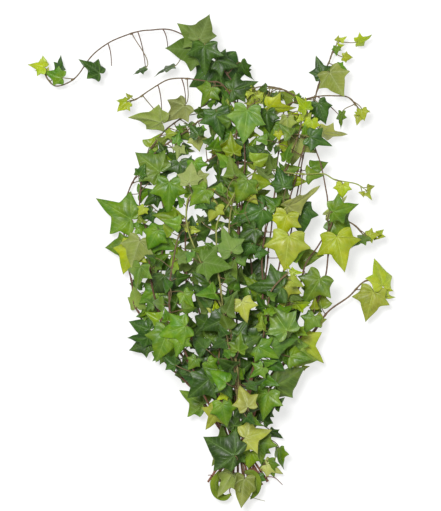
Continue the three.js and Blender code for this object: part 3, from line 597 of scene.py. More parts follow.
def leaves_of(trail, stem, seed):
    """A trail's leaves: flat ones, listed ones, and those that the rule adds."""
    leaves = []
    used = []
    for ends in trail.get("rest", []):
        leaf = {**leaf_between(*ends), **FLAT}
        leaf["length"] += REST_EXTRA
        attach(leaf, stem, used)
        leaves.append(leaf)
    for i, ends in enumerate(trail["leaves"]):
        leaf = leaf_between(*ends)
        attach(leaf, stem, used)
        leaf["base"][2] = leaf["foot"][2] + LEAF_LIFT
        set_shape(leaf, seed + i)
        leaves.append(leaf)
    turn = 0
    run = FILL["first"]
    while run < stem["length"] - NODE_GAP:
        turn += 1
        leaf = leaf_by_rule(stem, run, turn, seed + FIRST_FILL_SEED + turn)
        is_near_tie = abs(leaf["foot"][1] - TIE["y"]) < FILL["tie_clear"]
        is_crowded = any(abs(other - run) < FILL["clear"] for other in used)
        if not is_near_tie and not is_crowded and is_inside(*leaf["tip"][:2], FILL_OUTLINE):
            leaves.append(leaf)
        run += FILL["gap"]
    return leaves


def solid_corners(name):
    """A tree of the corners of a trail's solid, in millimetres."""
    corners = [v.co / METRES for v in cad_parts[name].data.vertices]
    tree = kdtree.KDTree(len(corners))
    for i, corner in enumerate(corners):
        tree.insert(corner, i)
    tree.balance()
    return tree


def as_placed(leaf, corners):
    """The leaf where the trail's solid has it, found by its tip and a lobe, or None."""
    climb_sign = -1 if leaf.get("by_rule") else 1
    for size in TRY_SIZES:
        for turn in TRY_TURNS:
            for climb in TRY_CLIMBS:
                placed = dict(leaf)
                placed["base"] = leaf["base"] + np.array([0, 0, climb_sign * climb])
                placed["roll"] = leaf["roll"] + turn
                placed["length"] = leaf["length"] * size
                set_axes(placed)
                keys = key_points(placed)
                marks = keys[[len(keys) // 2, 1]]
                spots = blade_points(placed, marks, BLADE_THICK / 2)
                if all(corners.find(spot)[2] < FOUND_WITHIN for spot in spots):
                    return placed
    return None


# The fine leaf
# Each stretch of margin from corner to corner is a curve: how far its first handle is from
# its first corner, how far its second handle is from its second, and its number of steps.
FIVE_MARGIN = [
    ((0.05, -0.17), (-0.12, -0.08), 8), ((0.0, 0.08), (-0.01, -0.06), 5),
    ((0.01, 0.07), (-0.08, -0.1), 6), ((-0.13, 0.05), (0.03, -0.07), 8),
    ((-0.03, 0.14), (0.1, -0.22), 11)]
THREE_MARGIN = [
    ((0.07, -0.18), (-0.08, -0.15), 9), ((-0.1, 0.08), (0.05, -0.1), 7),
    ((-0.03, 0.14), (0.1, -0.22), 10)]

# How far the sinuses are drawn in, by number of lobes and corner, and how handles differ
SINUS_DRAW = {5: {2: 0.04, 4: 0.06}, 3: {2: 0.05}}
HANDLE_DRIFT = 0.02
DRIFT_SEEDS = [(0.31, 0.07, 0.013), (0.57, 0.05, 0.017)]

# A blade's rings from the hub out to the margin, fewer on a small leaf, and half its thickness
HUB = (0, 0.03)
RING_SHARES = [0.1, 0.24, 0.4, 0.56, 0.71, 0.84, 0.94, 1]
SMALL_RING_SHARES = [0.15, 0.38, 0.62, 0.85, 1]
SMALL_LENGTH = 31
BLADE_HALF = {"hub": 0.3, "rim": 0.13}

# Relief of a blade in leaf lengths: panels puffed up between the main veins, waves along the
# margin; and in millimetres how deep the main veins sink above and stand out below
PUFF = 0.034
WAVE = {"height": 0.022, "count": (5, 9)}
DROOP = {"side": (-0.04, 0.18), "tip": (-0.03, 0.2)}
SIDE_REACH = 0.6
VEIN = {"sink": 0.16, "ridge": 0.3}
ON_VEIN = 0.01

# Heights below the second are bent up towards the first
SURFACE = {"lowest": 0.05, "from": 1.2}

# Petioles
PETIOLE_RADIUS = {"foot": 0.8, "middle": 0.58, "blade": 0.66}
PETIOLE_FLARE = {"foot": 0.08, "blade": 0.06}
PETIOLE_GREENER = 0.5
PETIOLE_SUNK = 0.02
PETIOLE_GREEN = (0.3, 0.8)
PETIOLE_RINGS = 12
PETIOLE_SIDES = 7
LEAF_SEED = 0.37
UPRIGHT = 0.9

# Stems: their swellings where petioles leave, how they differ from smooth, and how green
STEM_SHARE = 0.95
STEM_RING_GAP = 2.2
STEM_RING_SIDES = 9
SWELL = {"height": 0.38, "reach": 2.4, "clear_of_tie": 14}
UNEVEN = {"share": 0.06, "per_mm": 0.9}
WANDER = {"reach": 0.35, "from": 90, "over": 60, "back_over": 30}
WANDER_WAVES = [(np.sin, 0.13, 1.7), (np.cos, 0.11, 2.3)]
STEM_TIP = {"length": 6, "narrowest": 0.35}
STEM_GREEN = {"power": 1.2, "most": 0.62}
PALE_STEM_GREEN = (0.55, 0.95)
PALE_STEMS = ("ivy_trail_09", "ivy_trail_17", "ivy_trail_18")

# Buds, and the young folded leaves at each stem's tip
BUD = {"length": 2.4, "radius": 0.75, "sides": 6, "sunk": 0.6, "lean": 0.7, "greener": 0.15}
BUD_PROFILE = [0.55, 0.95, 1, 0.78, 0.4]
TIP_LEAVES = 3
TIP_LEAF = {
    "length": (8, 14), "smaller": 0.18, "petiole": (3, 7), "spread": (12, 60), "roll": (-35, 35),
    "pitch": (-10, 25), "fold": 0.5, "limp": 0.5, "rise": 2.5, "paler": 0.5, "back": 1.5,
    "gap": 3.5, "green": 0.8}
TIP_BUD = {"green": 0.9, "size": 1.1}
TIP_SEED = 60
MIDDLING = 0.5

# The undergrowth: smaller leaves along each stem, where a place in plan isn't covered yet
UNDER = {
    "first": 58, "last": 12, "gap": (8, 12), "clear": 4, "tries": 18, "length": (17, 34),
    "petiole": (6, 24), "spread": (10, 120), "roll": (-60, 60), "pitch": (-42, 42),
    "bend": (-25, 25), "lift": (-14, 24), "shrink": 0.35, "turned": 0.25, "least_new": 0.26,
    "rolled": (0.1, 1.9), "painted_shade": 0, "seed": 7000}

# The smallest leaves that fill what is still open after those, their tone lowered as painted shade so
# that they read as shadowed depth
INFILL = {
    "first": 52, "last": 20, "gap": (6, 9), "clear": 1.6, "tries": 24, "length": (13, 25),
    "petiole": (8, 30), "spread": (10, 150), "roll": (-50, 50), "pitch": (-35, 35),
    "bend": (-40, 40), "lift": (-20, 12), "shrink": 0.2, "turned": 0.2, "least_new": 0.2,
    "rolled": (0.1, 1.6), "painted_shade": 0.7, "seed": 7400}
UNDER_SEEDS = (31, 1.37, 0.0173)
GAP_SEED = 0.71
FIVE_LOBED_SHARE = 0.5
MORE_FOLD = 0.2

# Where such a leaf fits: room above the surface and below the top, and plainer shapes of
# leaves, petioles and stems that must stay clear of each other
FITS = {"above_surface": 0.8, "below_top": 1, "grow": 1.04}
STALK_PROXY = {"points": 6, "half": 0.5}
STEM_PROXY = {"every": 3, "half": 1.2}
NEAR = 0.5
TINY = 0.01

# The grid in plan on which covered places are noted, the points of a leaf that are looked at
# on it, and how much more a hidden stem counts than a hidden piece of ground
GRID = {"x": -230, "y": -300, "cell": 3, "count_x": 155, "count_y": 200}
COVER = {"steps": 3, "rings": 9, "first": 0.1, "last": 0.97}
STEM_COUNTS = 0.8

# The stretch of the bunch, in y, where leaves hide the stems if they can
STEMS_HIDDEN = {"from": -215, "to": 10}

# The part of the bunch, seen from above, that leaves cover closely
DENSE = [
    (-76, 148), (-30, 172), (10, 210), (40, 216), (100, 200), (140, 170), (134, 136), (100, 134),
    (88, 100), (92, 62), (66, 50), (60, 14), (34, 0), (58, -34), (94, -24), (130, -32),
    (130, -72), (106, -102), (94, -132), (88, -162), (62, -192), (62, -218), (4, -220),
    (-4, -192), (-22, -168), (-28, -144), (-76, -114), (-95, -84), (-95, -36), (-100, 12),
    (-94, 50), (-92, 96)]

# Open places in the bunch, seen from above: x, y, radius. A leaf may reach in a little.
IN_GAP = 0.12
GAPS = [
    (-28, 58, 12), (-17, 131, 11), (-4, 101, 10), (59, 49, 9), (50, -5, 10), (115, 19, 11),
    (115, -11, 9), (104, 42, 8), (11, -32, 8), (76, 125, 8), (47, 102, 7)]

# Tone of the bunch by place in plan: x, y, tone. A leaf takes the mean of those in reach,
# give or take the drift.
TONE_REACH = 45
TONE_DRIFT = (-0.6, 0.6)
TONE_ZONES = [
    (-75, 100, 1.2), (-85, 30, 1.3), (-75, -30, 1.1), (-70, -110, 0.8), (0, -120, 0.2),
    (50, -130, 0.4), (30, -60, 0.1), (0, 20, 0.7), (40, 60, 0.6), (20, 120, 1.1),
    (70, 140, 1.3), (20, 190, 0.6), (110, 170, 1.2), (130, 60, 1.6), (120, 10, 1.9),
    (95, -50, 1.5), (100, -100, 1.4), (30, -200, 0.6), (30, -260, 1.2)]

# Petioles that hang bare: x, y on the stem, where they end, how far they drop
STALK = {
    "radius": (0.75, 0.5), "green": (0.25, 0.5), "points": 16, "lowest": 2, "pull": (0.6, 0.4),
    "bow": ([2.5, 0, 3], [1.5, 0, 0]), "vary": 0.4}
STALKS = {
    "ivy_trail_01": [
        (-127, 263, (-123, 236), 8), (-91, 277, (-82, 235), 12), (-60, 279, (-55, 259), 10)],
    "ivy_trail_02": [
        (-67, 213, (-62, 178), 8), (-38, 220, (-33, 190), 10)],
    "ivy_trail_08": [(126, 198, (152, 176), 6)],
    "ivy_trail_11": [(172, 42, (182, 28), 4)],
}

# Leaves that are rolled up along their sides: how much, and 1 towards their upper face
ROLLED = {
    ("ivy_trail_17", 6): (2.6, -1), ("ivy_trail_24", 2): (2.2, -1), ("ivy_trail_02", 1): (1.2, 1),
    ("ivy_trail_09", 1): (1.4, 1), ("ivy_trail_10", 1): (1.3, 1), ("ivy_trail_01", 6): (1.0, 1)}

# Small leaves by the tie, from low on a stem: x, y of base and tip, height of the base,
# roll, pitch, tone
TIE_LEAF = {"seed": 900, "rolled": 1, "first": 12, "gap": 9}
TIE_LEAVES = {
    "ivy_trail_19": [
        (46, -230, 42, -252, 27, 15, -12, 1.2), (60, -224, 55, -243, 24, -30, -10, 0.9)],
    "ivy_trail_17": [(33, -233, 24, -250, 27, 20, -8, 0.4)],
    "ivy_trail_10": [(66, -242, 73, -263, 20, 25, -10, 1.0)],
    "ivy_trail_16": [(7, -237, -3, -247, 20, 160, 5, 1.5)],
}

# Thin shoots at the cut ends: points after the cut end, radius, how green
SHOOT = {"steps": 8, "tip": 0.55, "vary": 0.7}
SHOOTS = {
    "ivy_trail_22": [([(2, -258, 20), (-6, -259, 16)], 0.9, 0.12)],
    "ivy_trail_18": [([(19, -258, 22), (25, -265, 24), (20, -276, 22), (22, -284, 14)], 1.0, 0.16)],
    "ivy_trail_17": [([(46, -251, 22), (54, -254, 22), (61, -250, 18)], 0.9, 0.12)],
    "ivy_trail_19": [([(62, -262, 18), (74, -262, 13), (84, -271, 7)], 0.8, 0.2)],
    "ivy_trail_06": [([(44, -284, 10), (52, -288, 6), (63, -291, 4)], 0.5, 0.8)],
}

# Loops of bare stem: a place on the stem and the points after it, radius, how green
LOOP = {"tip": 0.6, "vary": 0.6}
LOOPS = {
    "ivy_trail_18": [([(34, 92, 104), (24, 96, 108), (17, 82, 109), (20, 66, 107), (30, 56, 104),
        (41, 58, 100)], 0.6, 0.72)],
    "ivy_trail_14": [([(66, 62, 82), (48, 74, 92), (38, 60, 94), (44, 44, 88)], 0.6, 0.6)],
}

# Curled leaves at the cut ends: points after the cut end, width, tilt, tone
CURL = {
    "place": (0.07, 1), "blunt": 0.7, "least": 0.25, "across": 7, "hollow": 0.35, "thick": 0.44,
    "vein_width": 0.35, "vary": 0.4}
CURLS = {
    "ivy_trail_22": [([(6, -260, 24), (3, -269, 25), (6, -280, 22), (14, -285, 19),
        (22, -281, 18)], 13, 40, 1.3)],
    "ivy_trail_17": [([(47, -257, 26), (52, -266, 27), (51, -278, 24), (45, -288, 18)], 12, -38, 1.2)],
}

# Materials of a trail, in the order of its slots
UPPER_SLOT = 0
LOWER_SLOT = 1
BARK_SLOT = 2
CUT_SLOT = 3


def bezier(a, b, c, d, t):
    t = t[:, None]
    return a * (1 - t) ** 3 + 3 * b * t * (1 - t) ** 2 + 3 * c * t * t * (1 - t) + d * t ** 3


def margin(leaf, is_plain, drift):
    """A leaf's margin from the right of its notch round its tip to the left. The plain one
    lacks the leaf's slant, and carries the pattern of its veins."""
    shape = dict(leaf, skew=0, depth=1) if is_plain else leaf
    keys = key_points(shape)
    middle = len(keys) // 2
    for corner, depth in SINUS_DRAW[leaf["lobes"]].items():
        keys[corner, 0] -= depth
        keys[-1 - corner, 0] += depth
    curves = FIVE_MARGIN if leaf["lobes"] == 5 else THREE_MARGIN
    points = []
    for side in (1, -1):
        half = keys[:middle + 1] if side > 0 else keys[:middle - 1:-1]
        made = []
        for i, (first, second, steps) in enumerate(curves):
            a, d = half[i], half[i + 1]
            b = a + np.array([side * first[0], first[1]]) + drift[i, 0]
            c = d + np.array([side * second[0], second[1]]) + drift[i, 1]
            made.append(bezier(a, b, c, d, np.arange(steps) / steps))
        made = np.vstack(made)
        points.append(made if side > 0 else made[::-1])
    return np.vstack([points[0], keys[middle], points[1]])


def rim_shares(lobes):
    """For each point of a margin, its place between the main veins on either side, 0 to 1."""
    curves = FIVE_MARGIN if lobes == 5 else THREE_MARGIN
    steps = [curve[2] for curve in curves]
    if lobes == 5:
        panels = [steps[0], steps[1] + steps[2], steps[3] + steps[4]]
    else:
        panels = [steps[0], steps[1] + steps[2]]
    half = np.concatenate([np.arange(count) / count for count in panels])
    half[:panels[0]] = 0.5 + half[:panels[0]] / 2
    return np.concatenate([half, [0], half[::-1]])


def lie_on_surface(z):
    """Heights bent up so that nothing goes below the surface that the bunch lies on."""
    sunk = np.exp(np.minimum(z - SURFACE["from"], 0) / SURFACE["from"])
    bent = SURFACE["lowest"] + (SURFACE["from"] - SURFACE["lowest"]) * sunk
    return np.where(z < SURFACE["from"], bent, z)


def blade_part(leaf, seed):
    """A leaf's blade: both faces and the thin edge between them."""
    lobes = leaf["lobes"]
    count = len(FIVE_MARGIN if lobes == 5 else THREE_MARGIN)
    drift = np.array([
        [[draw(seed + first + step * i + hand * j) for first, step, hand in DRIFT_SEEDS]
         for j in range(2)]
        for i in range(count)])
    drift = drift * 2 * HANDLE_DRIFT - HANDLE_DRIFT
    rim = margin(leaf, False, drift)
    plain = margin(leaf, True, drift)
    around = len(rim)
    share = rim_shares(lobes)
    between_veins = np.sin(np.pi * share)
    on_vein = (between_veins < ON_VEIN).astype(float)
    phase = 2 * math.pi * draw(seed + 0.71)
    waves = round(between(WAVE["count"], draw(seed + 0.73)))
    side_droop = between(DROOP["side"], draw(seed + 0.77)) * leaf["limp"]
    tip_droop = between(DROOP["tip"], draw(seed + 0.79)) * leaf["limp"]
    wave = np.sin(phase + waves * 2 * np.pi * np.arange(around) / around)
    hub = np.array(HUB)
    uv, at, upper, lower = [hub[None]], [hub[None]], [np.zeros(1)], [np.zeros(1)]
    upper[0] += BLADE_HALF["hub"] - VEIN["sink"]
    lower[0] += -BLADE_HALF["hub"] - VEIN["ridge"]
    shares = RING_SHARES if leaf["length"] > SMALL_LENGTH else SMALL_RING_SHARES
    for t in shares:
        uv.append(hub + t * (rim - hub))
        at.append(hub + t * (plain - hub))
        half = BLADE_HALF["hub"] + (BLADE_HALF["rim"] - BLADE_HALF["hub"]) * t
        u, v = uv[-1].T
        hang = side_droop * (u / SIDE_REACH) ** 2 + tip_droop * v ** 2 * (v > 0)
        puffed = leaf["length"] * (
            PUFF * between_veins * 4 * t * (1 - t) + WAVE["height"] * wave * t ** 3 - hang)
        upper.append(puffed + half - VEIN["sink"] * on_vein * (1 - t))
        lower.append(puffed - half - VEIN["ridge"] * on_vein * (1 - t))
    uv, at = np.vstack(uv), np.vstack(at)
    roll = leaf.get("rolled", 0)
    if roll:
        turn = roll * uv[:, 0]
        lift = leaf["length"] * (1 - np.cos(turn)) / abs(roll) * leaf.get("roll_side", 1)
        uv = np.column_stack([np.sin(turn) / roll, uv[:, 1]])
    else:
        lift = 0
    top = blade_points(leaf, uv, np.concatenate(upper) + lift)
    under = blade_points(leaf, uv, np.concatenate(lower) + lift)
    for face in (top, under):
        face[:, 2] = lie_on_surface(face[:, 2])
    at = np.column_stack([at, np.full(len(at), 1.0 if lobes == 3 else 0.0)])
    return {
        "points": np.vstack([top, under]), "faces": blade_faces(around, len(shares)),
        "at": np.vstack([at, at]), "tone": leaf["tone"], "vary": draw(seed + 0.91)}


def blade_faces(around, rings):
    """The faces of a blade: a fan at the hub and rings out to the margin, above and below,
    and the edge that joins the two."""
    here = 1 + np.arange(around)
    after = np.roll(here, -1)
    size = 1 + rings * around
    fans = np.column_stack([np.zeros(around, int), here, after])
    quads = np.vstack([
        np.column_stack([here, here + around, after + around, after]) + ring * around
        for ring in range(rings - 1)])
    last = (rings - 1) * around
    edge = np.column_stack([here, here + size, after + size, after]) + last
    return [
        (fans, UPPER_SLOT), (quads, UPPER_SLOT), (fans[:, ::-1] + size, LOWER_SLOT),
        (quads[:, ::-1] + size, LOWER_SLOT), (edge, LOWER_SLOT)]


def tube_part(points, radii, sides, tone, vary, first_end=BARK_SLOT):
    """A round tube along a line. Its pattern coordinates are the place round it and the run."""
    points = np.asarray(points, float)
    radii = np.broadcast_to(radii, len(points))
    ways = np.gradient(points, axis=0)
    ways /= np.linalg.norm(ways, axis=1)[:, None]
    is_upright = abs(ways[0, 2]) >= UPRIGHT
    side = unit(np.cross(ways[0], [1.0, 0, 0] if is_upright else [0, 0, 1.0]))
    angles = 2 * np.pi * np.arange(sides) / sides
    rings = []
    for point, way, radius in zip(points, ways, radii):
        side = unit(side - way * (side @ way))
        up = np.cross(way, side)
        ring = np.outer(np.cos(angles), side) + np.outer(np.sin(angles), up)
        rings.append(point + radius * ring)
    runs = with_runs(points)["runs"]
    made = np.vstack(rings)
    at = np.column_stack([
        np.tile(np.cos(angles), len(points)), np.tile(np.sin(angles), len(points)),
        np.repeat(runs, sides)])
    next_up = np.roll(np.arange(sides), -1)
    quads = np.vstack([
        np.column_stack([
            r * sides + np.arange(sides), r * sides + next_up,
            (r + 1) * sides + next_up, (r + 1) * sides + np.arange(sides)])
        for r in range(len(points) - 1)])
    last = (len(points) - 1) * sides
    tones = np.repeat(np.broadcast_to(tone, len(points)), sides)
    faces = [
        (quads, BARK_SLOT), (last + np.arange(sides)[None], BARK_SLOT),
        (np.arange(sides)[None, ::-1], first_end)]
    return {"points": made, "faces": faces, "at": at, "tone": tones, "vary": vary}


def petiole_part(leaf, foot, green, vary):
    """The stalk from a leaf's notch to the stem, thicker at both ends."""
    points = petiole_line(leaf, foot, PETIOLE_RINGS)
    t = np.linspace(0, 1, PETIOLE_RINGS)
    radii = PETIOLE_RADIUS["middle"]
    for end, way in (("foot", t), ("blade", 1 - t)):
        flare = np.exp(-((way / PETIOLE_FLARE[end]) ** 2))
        radii = radii + (PETIOLE_RADIUS[end] - PETIOLE_RADIUS["middle"]) * flare
    tones = green + (1 - green) * PETIOLE_GREENER * t ** 2
    return tube_part(points, radii, PETIOLE_SIDES, tones, vary)


def nearest_on(line, point):
    """The point of a line nearest to a place, in plan where the place is given in plan."""
    gaps = np.linalg.norm(line["points"][:, :len(point)] - point, axis=1)
    i = int(np.argmin(gaps))
    return line["points"][i], line["runs"][i]


def at_runs(line, runs):
    """The points at one or more runs along a line."""
    return np.stack([np.interp(runs, line["runs"], line["points"][:, k]) for k in range(3)], -1)


def stem_green(run, length):
    """How green a stem is: 0 old wood at the cut end, 1 new growth at the tip."""
    return np.clip((run / length) ** STEM_GREEN["power"], 0, 1) * STEM_GREEN["most"]


def stem_part(smooth, feet, seed, trail_name):
    """A stem: round, tapering, a little uneven, and swollen at each node."""
    length = smooth["length"]
    count = int(length / STEM_RING_GAP)
    runs = np.linspace(0, length, count)
    points = at_runs(smooth, runs)
    taper = np.minimum(runs / STEM_TAPER_LENGTH, 1)
    radii = STEM_SHARE * (STEM_RADIUS["root"] + (STEM_RADIUS["tip"] - STEM_RADIUS["root"]) * taper)
    green = stem_green(runs, length)
    if trail_name in PALE_STEMS:
        green = between(PALE_STEM_GREEN, runs / length)
    swollen = np.zeros(count)
    for foot in feet:
        swollen = np.maximum(swollen, np.exp(-(((runs - foot) / SWELL["reach"]) ** 2)))
    near_tie = np.exp(-(((points[:, 1] - TIE["y"]) / SWELL["clear_of_tie"]) ** 2))
    radii = radii * (1 + SWELL["height"] * swollen * (1 - near_tie))
    radii = radii * (1 + UNEVEN["share"] * np.sin(runs * UNEVEN["per_mm"] + seed))
    free = smooth_step((runs - WANDER["from"]) / WANDER["over"])
    free = free * smooth_step((length - runs) / WANDER["back_over"])
    for axis, (wave, per_mm, phase) in enumerate(WANDER_WAVES):
        points[:, axis] += WANDER["reach"] * free * wave(runs * per_mm + phase * seed)
    tip_share = np.clip((length - runs) / STEM_TIP["length"], STEM_TIP["narrowest"], 1)
    return tube_part(points, radii * tip_share, STEM_RING_SIDES, green, draw(seed + 0.2), CUT_SLOT)


def bud_part(point, way, green, vary, size=1.0):
    """A small pointed bud."""
    shares = np.linspace(0, 1, len(BUD_PROFILE))
    points = point + np.outer(shares * BUD["length"] * size, way)
    radii = BUD["radius"] * size * np.array(BUD_PROFILE)
    return tube_part(points, radii, BUD["sides"], green, vary)


def tip_parts(smooth, seed):
    """The young folded leaves and the bud at a stem's tip."""
    end = smooth["points"][-1]
    way = unit(end - smooth["points"][-4])
    heading = math.degrees(math.atan2(way[1], way[0]))
    parts = [bud_part(end, way, TIP_BUD["green"], MIDDLING, TIP_BUD["size"])]
    for i in range(TIP_LEAVES):
        own = seed + TIP_SEED + i
        side = 1 if i % 2 else -1
        leaf = {
            "heading": heading + side * between(TIP_LEAF["spread"], draw(own + 0.1)),
            "length": between(TIP_LEAF["length"], draw(own + 0.2)) * (1 - TIP_LEAF["smaller"] * i),
            "roll": between(TIP_LEAF["roll"], draw(own + 0.3)),
            "pitch": between(TIP_LEAF["pitch"], draw(own + 0.4)),
            "lobes": 3, "tone": YOUNG + TIP_LEAF["paler"] * draw(own + 0.5)}
        set_shape(leaf, own)
        leaf["limp"] = TIP_LEAF["limp"]
        leaf["fold"] = TIP_LEAF["fold"]
        reach = between(TIP_LEAF["petiole"], draw(own + 0.6))
        foot = at_runs(smooth, smooth["length"] - TIP_LEAF["back"] - TIP_LEAF["gap"] * i)
        leaf["base"] = foot + outward(leaf["heading"]) * reach + [0, 0, TIP_LEAF["rise"]]
        set_axes(leaf)
        parts.append(blade_part(leaf, own))
        parts.append(petiole_part(leaf, foot, TIP_LEAF["green"], MIDDLING))
    return parts


def make_piece(name, parts, materials):
    """One mesh of many parts, with the attributes that its materials read."""
    points, faces, slots, at, tone, vary = [], [], [], [], [], []
    start = 0
    for part in parts:
        size = len(part["points"])
        points.append(part["points"] * METRES)
        at.append(part["at"])
        tone.append(np.broadcast_to(part["tone"], size))
        vary.append(np.full(size, part["vary"]))
        for group, slot in part["faces"]:
            faces += (group + start).tolist()
            slots.append(np.full(len(group), slot))
        start += size
    mesh = bpy.data.meshes.new(name)
    mesh.from_pydata(np.vstack(points).tolist(), [], faces)
    for material in materials:
        mesh.materials.append(material)
    mesh.polygons.foreach_set("material_index", np.concatenate(slots).astype(np.int32))
    mesh.polygons.foreach_set("use_smooth", np.ones(len(mesh.polygons), bool))
    where = mesh.attributes.new("at", "FLOAT_VECTOR", "POINT")
    where.data.foreach_set("vector", np.vstack(at).astype(np.float32).ravel())
    for label, values in (("tone", tone), ("vary", vary)):
        attribute = mesh.attributes.new(label, "FLOAT", "POINT")
        attribute.data.foreach_set("value", np.concatenate(values).astype(np.float32))
    mesh.update()
    piece = bpy.data.objects.new(name, mesh)
    bpy.context.scene.collection.objects.link(piece)
    return piece


# Materials

class Nodes:
    """Short calls for a material's nodes."""

    def __init__(self, name):
        self.material = bpy.data.materials.new(name)
        self.material.use_nodes = True
        self.tree = self.material.node_tree
        self.shader = self.tree.nodes["Principled BSDF"]

    def add(self, kind, **settings):
        node = self.tree.nodes.new(kind)
        for key, value in settings.items():
            setattr(node, key, value)
        return node

    def put(self, value, socket):
        if isinstance(value, bpy.types.NodeSocket):
            self.tree.links.new(value, socket)
        else:
            socket.default_value = value

    def set_look(self, color, roughness):
        self.put(color, self.shader.inputs["Base Color"])
        self.put(roughness, self.shader.inputs["Roughness"])

    def math(self, operation, *values, clamp=False):
        node = self.add("ShaderNodeMath", operation=operation, use_clamp=clamp)
        for value, socket in zip(values, node.inputs):
            self.put(value, socket)
        return node.outputs[0]

    def sum(self, a, b, clamp=False):
        return self.math("ADD", a, b, clamp=clamp)

    def less(self, a, b):
        return self.math("SUBTRACT", a, b)

    def times(self, a, b):
        return self.math("MULTIPLY", a, b)

    def read(self, name, output="Fac"):
        return self.add("ShaderNodeAttribute", attribute_name=name).outputs[output]

    def split(self, vector):
        node = self.add("ShaderNodeSeparateXYZ")
        self.put(vector, node.inputs[0])
        return node.outputs

    def ramp(self, share, stops):
        node = self.add("ShaderNodeValToRGB")
        elements = node.color_ramp.elements
        while len(elements) < len(stops):
            elements.new(0.5)
        for element, (place, color) in zip(elements, stops):
            element.position = place
            element.color = (*linear(color), 1)
        self.put(share, node.inputs[0])
        return node.outputs[0]

    def mix(self, share, a, b):
        node = self.add("ShaderNodeMix", data_type="RGBA")
        for value, place in ((share, 0), (a, 6), (b, 7)):
            self.put(value, node.inputs[place])
        return node.outputs[2]

    def noise(self, vector, scale, detail, roughness=0.55):
        node = self.add("ShaderNodeTexNoise")
        self.put(vector, node.inputs["Vector"])
        for key, number in (("Scale", scale), ("Detail", detail), ("Roughness", roughness)):
            node.inputs[key].default_value = number
        return node.outputs[0]

    def place(self):
        return self.add("ShaderNodeTexCoord").outputs["Object"]

    def scale_to(self, value, span, to_span, interpolation="LINEAR"):
        node = self.add("ShaderNodeMapRange", interpolation_type=interpolation)
        self.put(value, node.inputs["Value"])
        keys = ("From Min", "From Max", "To Min", "To Max")
        for key, number in zip(keys, (*span, *to_span)):
            node.inputs[key].default_value = number
        return node.outputs[0]

    def band(self, value, half_width, softness):
        """1 where a value is below a half width, fading to 0 over a softness."""
        return self.scale_to(value, (half_width, half_width + softness), (1, 0), "SMOOTHSTEP")

    def bump(self, height, strength, distance):
        node = self.add("ShaderNodeBump")
        node.inputs["Strength"].default_value = strength
        node.inputs["Distance"].default_value = distance
        self.put(height, node.inputs["Height"])
        self.put(node.outputs[0], self.shader.inputs["Normal"])


def linear(text):
    """A colour written as sRGB hex, as linear red, green and blue."""
    parts = [int(text[i:i + 2], 16) / 255 for i in (1, 3, 5)]
    return tuple(c / 12.92 if c <= 0.04045 else ((c + 0.055) / 1.055) ** 2.4 for c in parts)


# Main veins, from the notch towards the lobes: half width and fading in leaf lengths, and
# how they narrow from the notch to the tip
MAIN_VEINS = {
    "tip": (0, 1), "side": (0.6, 0.32), "base": (0.4, -0.13), "plain_side": (0.53, 0.07)}
MAIN_VEIN = {"half": 0.006, "soft": 0.012, "taper": (1.0, 0.25), "zone": 0.11}
FINE_VEIN = {"per_length": 7.5, "slant": 0.85, "half": 0.035, "soft": 0.09, "wobble": 0.06}
WOBBLE_NOISE = (6.0, 2.0)

# Tones of a leaf: deep, mid, young, pale
TONE_STOPS = (0, 1 / 3, 2 / 3, 1)

# How leaves differ in colour: by the leaf, by patches on it and by fine mottling
NOISE_SPAN = (0.3, 0.7)
LEAF_NOISE = {"mottle": (190.0, 4.0), "patch": (45.0, 2.0), "blush": (70.0, 3.0)}
BLUSH = {"span": (0.42, 0.62), "share": (0.0, 0.55)}
LEAF_RANGE = {
    "hue": (0.48, 0.503), "saturation": (0.95, 1.15), "value": (0.72, 1.14),
    "mottle": (-0.1, 0.1), "patch": (-0.16, 0.16)}
SECOND_DRAW = 7.3
VEIN_ZONE_SHARE = 0.2
MAIN_VEIN_SHARE = 0.45
LEAF_BUMP = {"mottle": 0.7, "strength": 0.5, "distance": 0.0004}

# The two faces of a leaf: colours by tone, warmer blush, veins
UPPER_FACE = {
    "colours": ("#264b0b", "#4d7b18", "#98b024", "#a9b555"),
    "blushes": ("#47711a", "#7d9c22", "#b4bd2e", "#b8bd6a"),
    "veins": ("#6f9245", "#8fb04e", "#bac85a", "#c6cf88"),
    "fine_share": 0.14, "specular": 0.42, "rough": (0.33, 0.47), "relief": (-1.0, -0.45)}
UNDER_FACE = {
    "colours": ("#56732f", "#67843a", "#889e3a", "#86964f"),
    "blushes": ("#657c3f", "#788d42", "#9ba93f", "#98a15e"),
    "veins": ("#8aa262", "#94a96a", "#aebd6c", "#b3bd84"),
    "fine_share": 0.2, "specular": 0.15, "rough": (0.66, 0.78), "relief": (1.0, 0.5)}


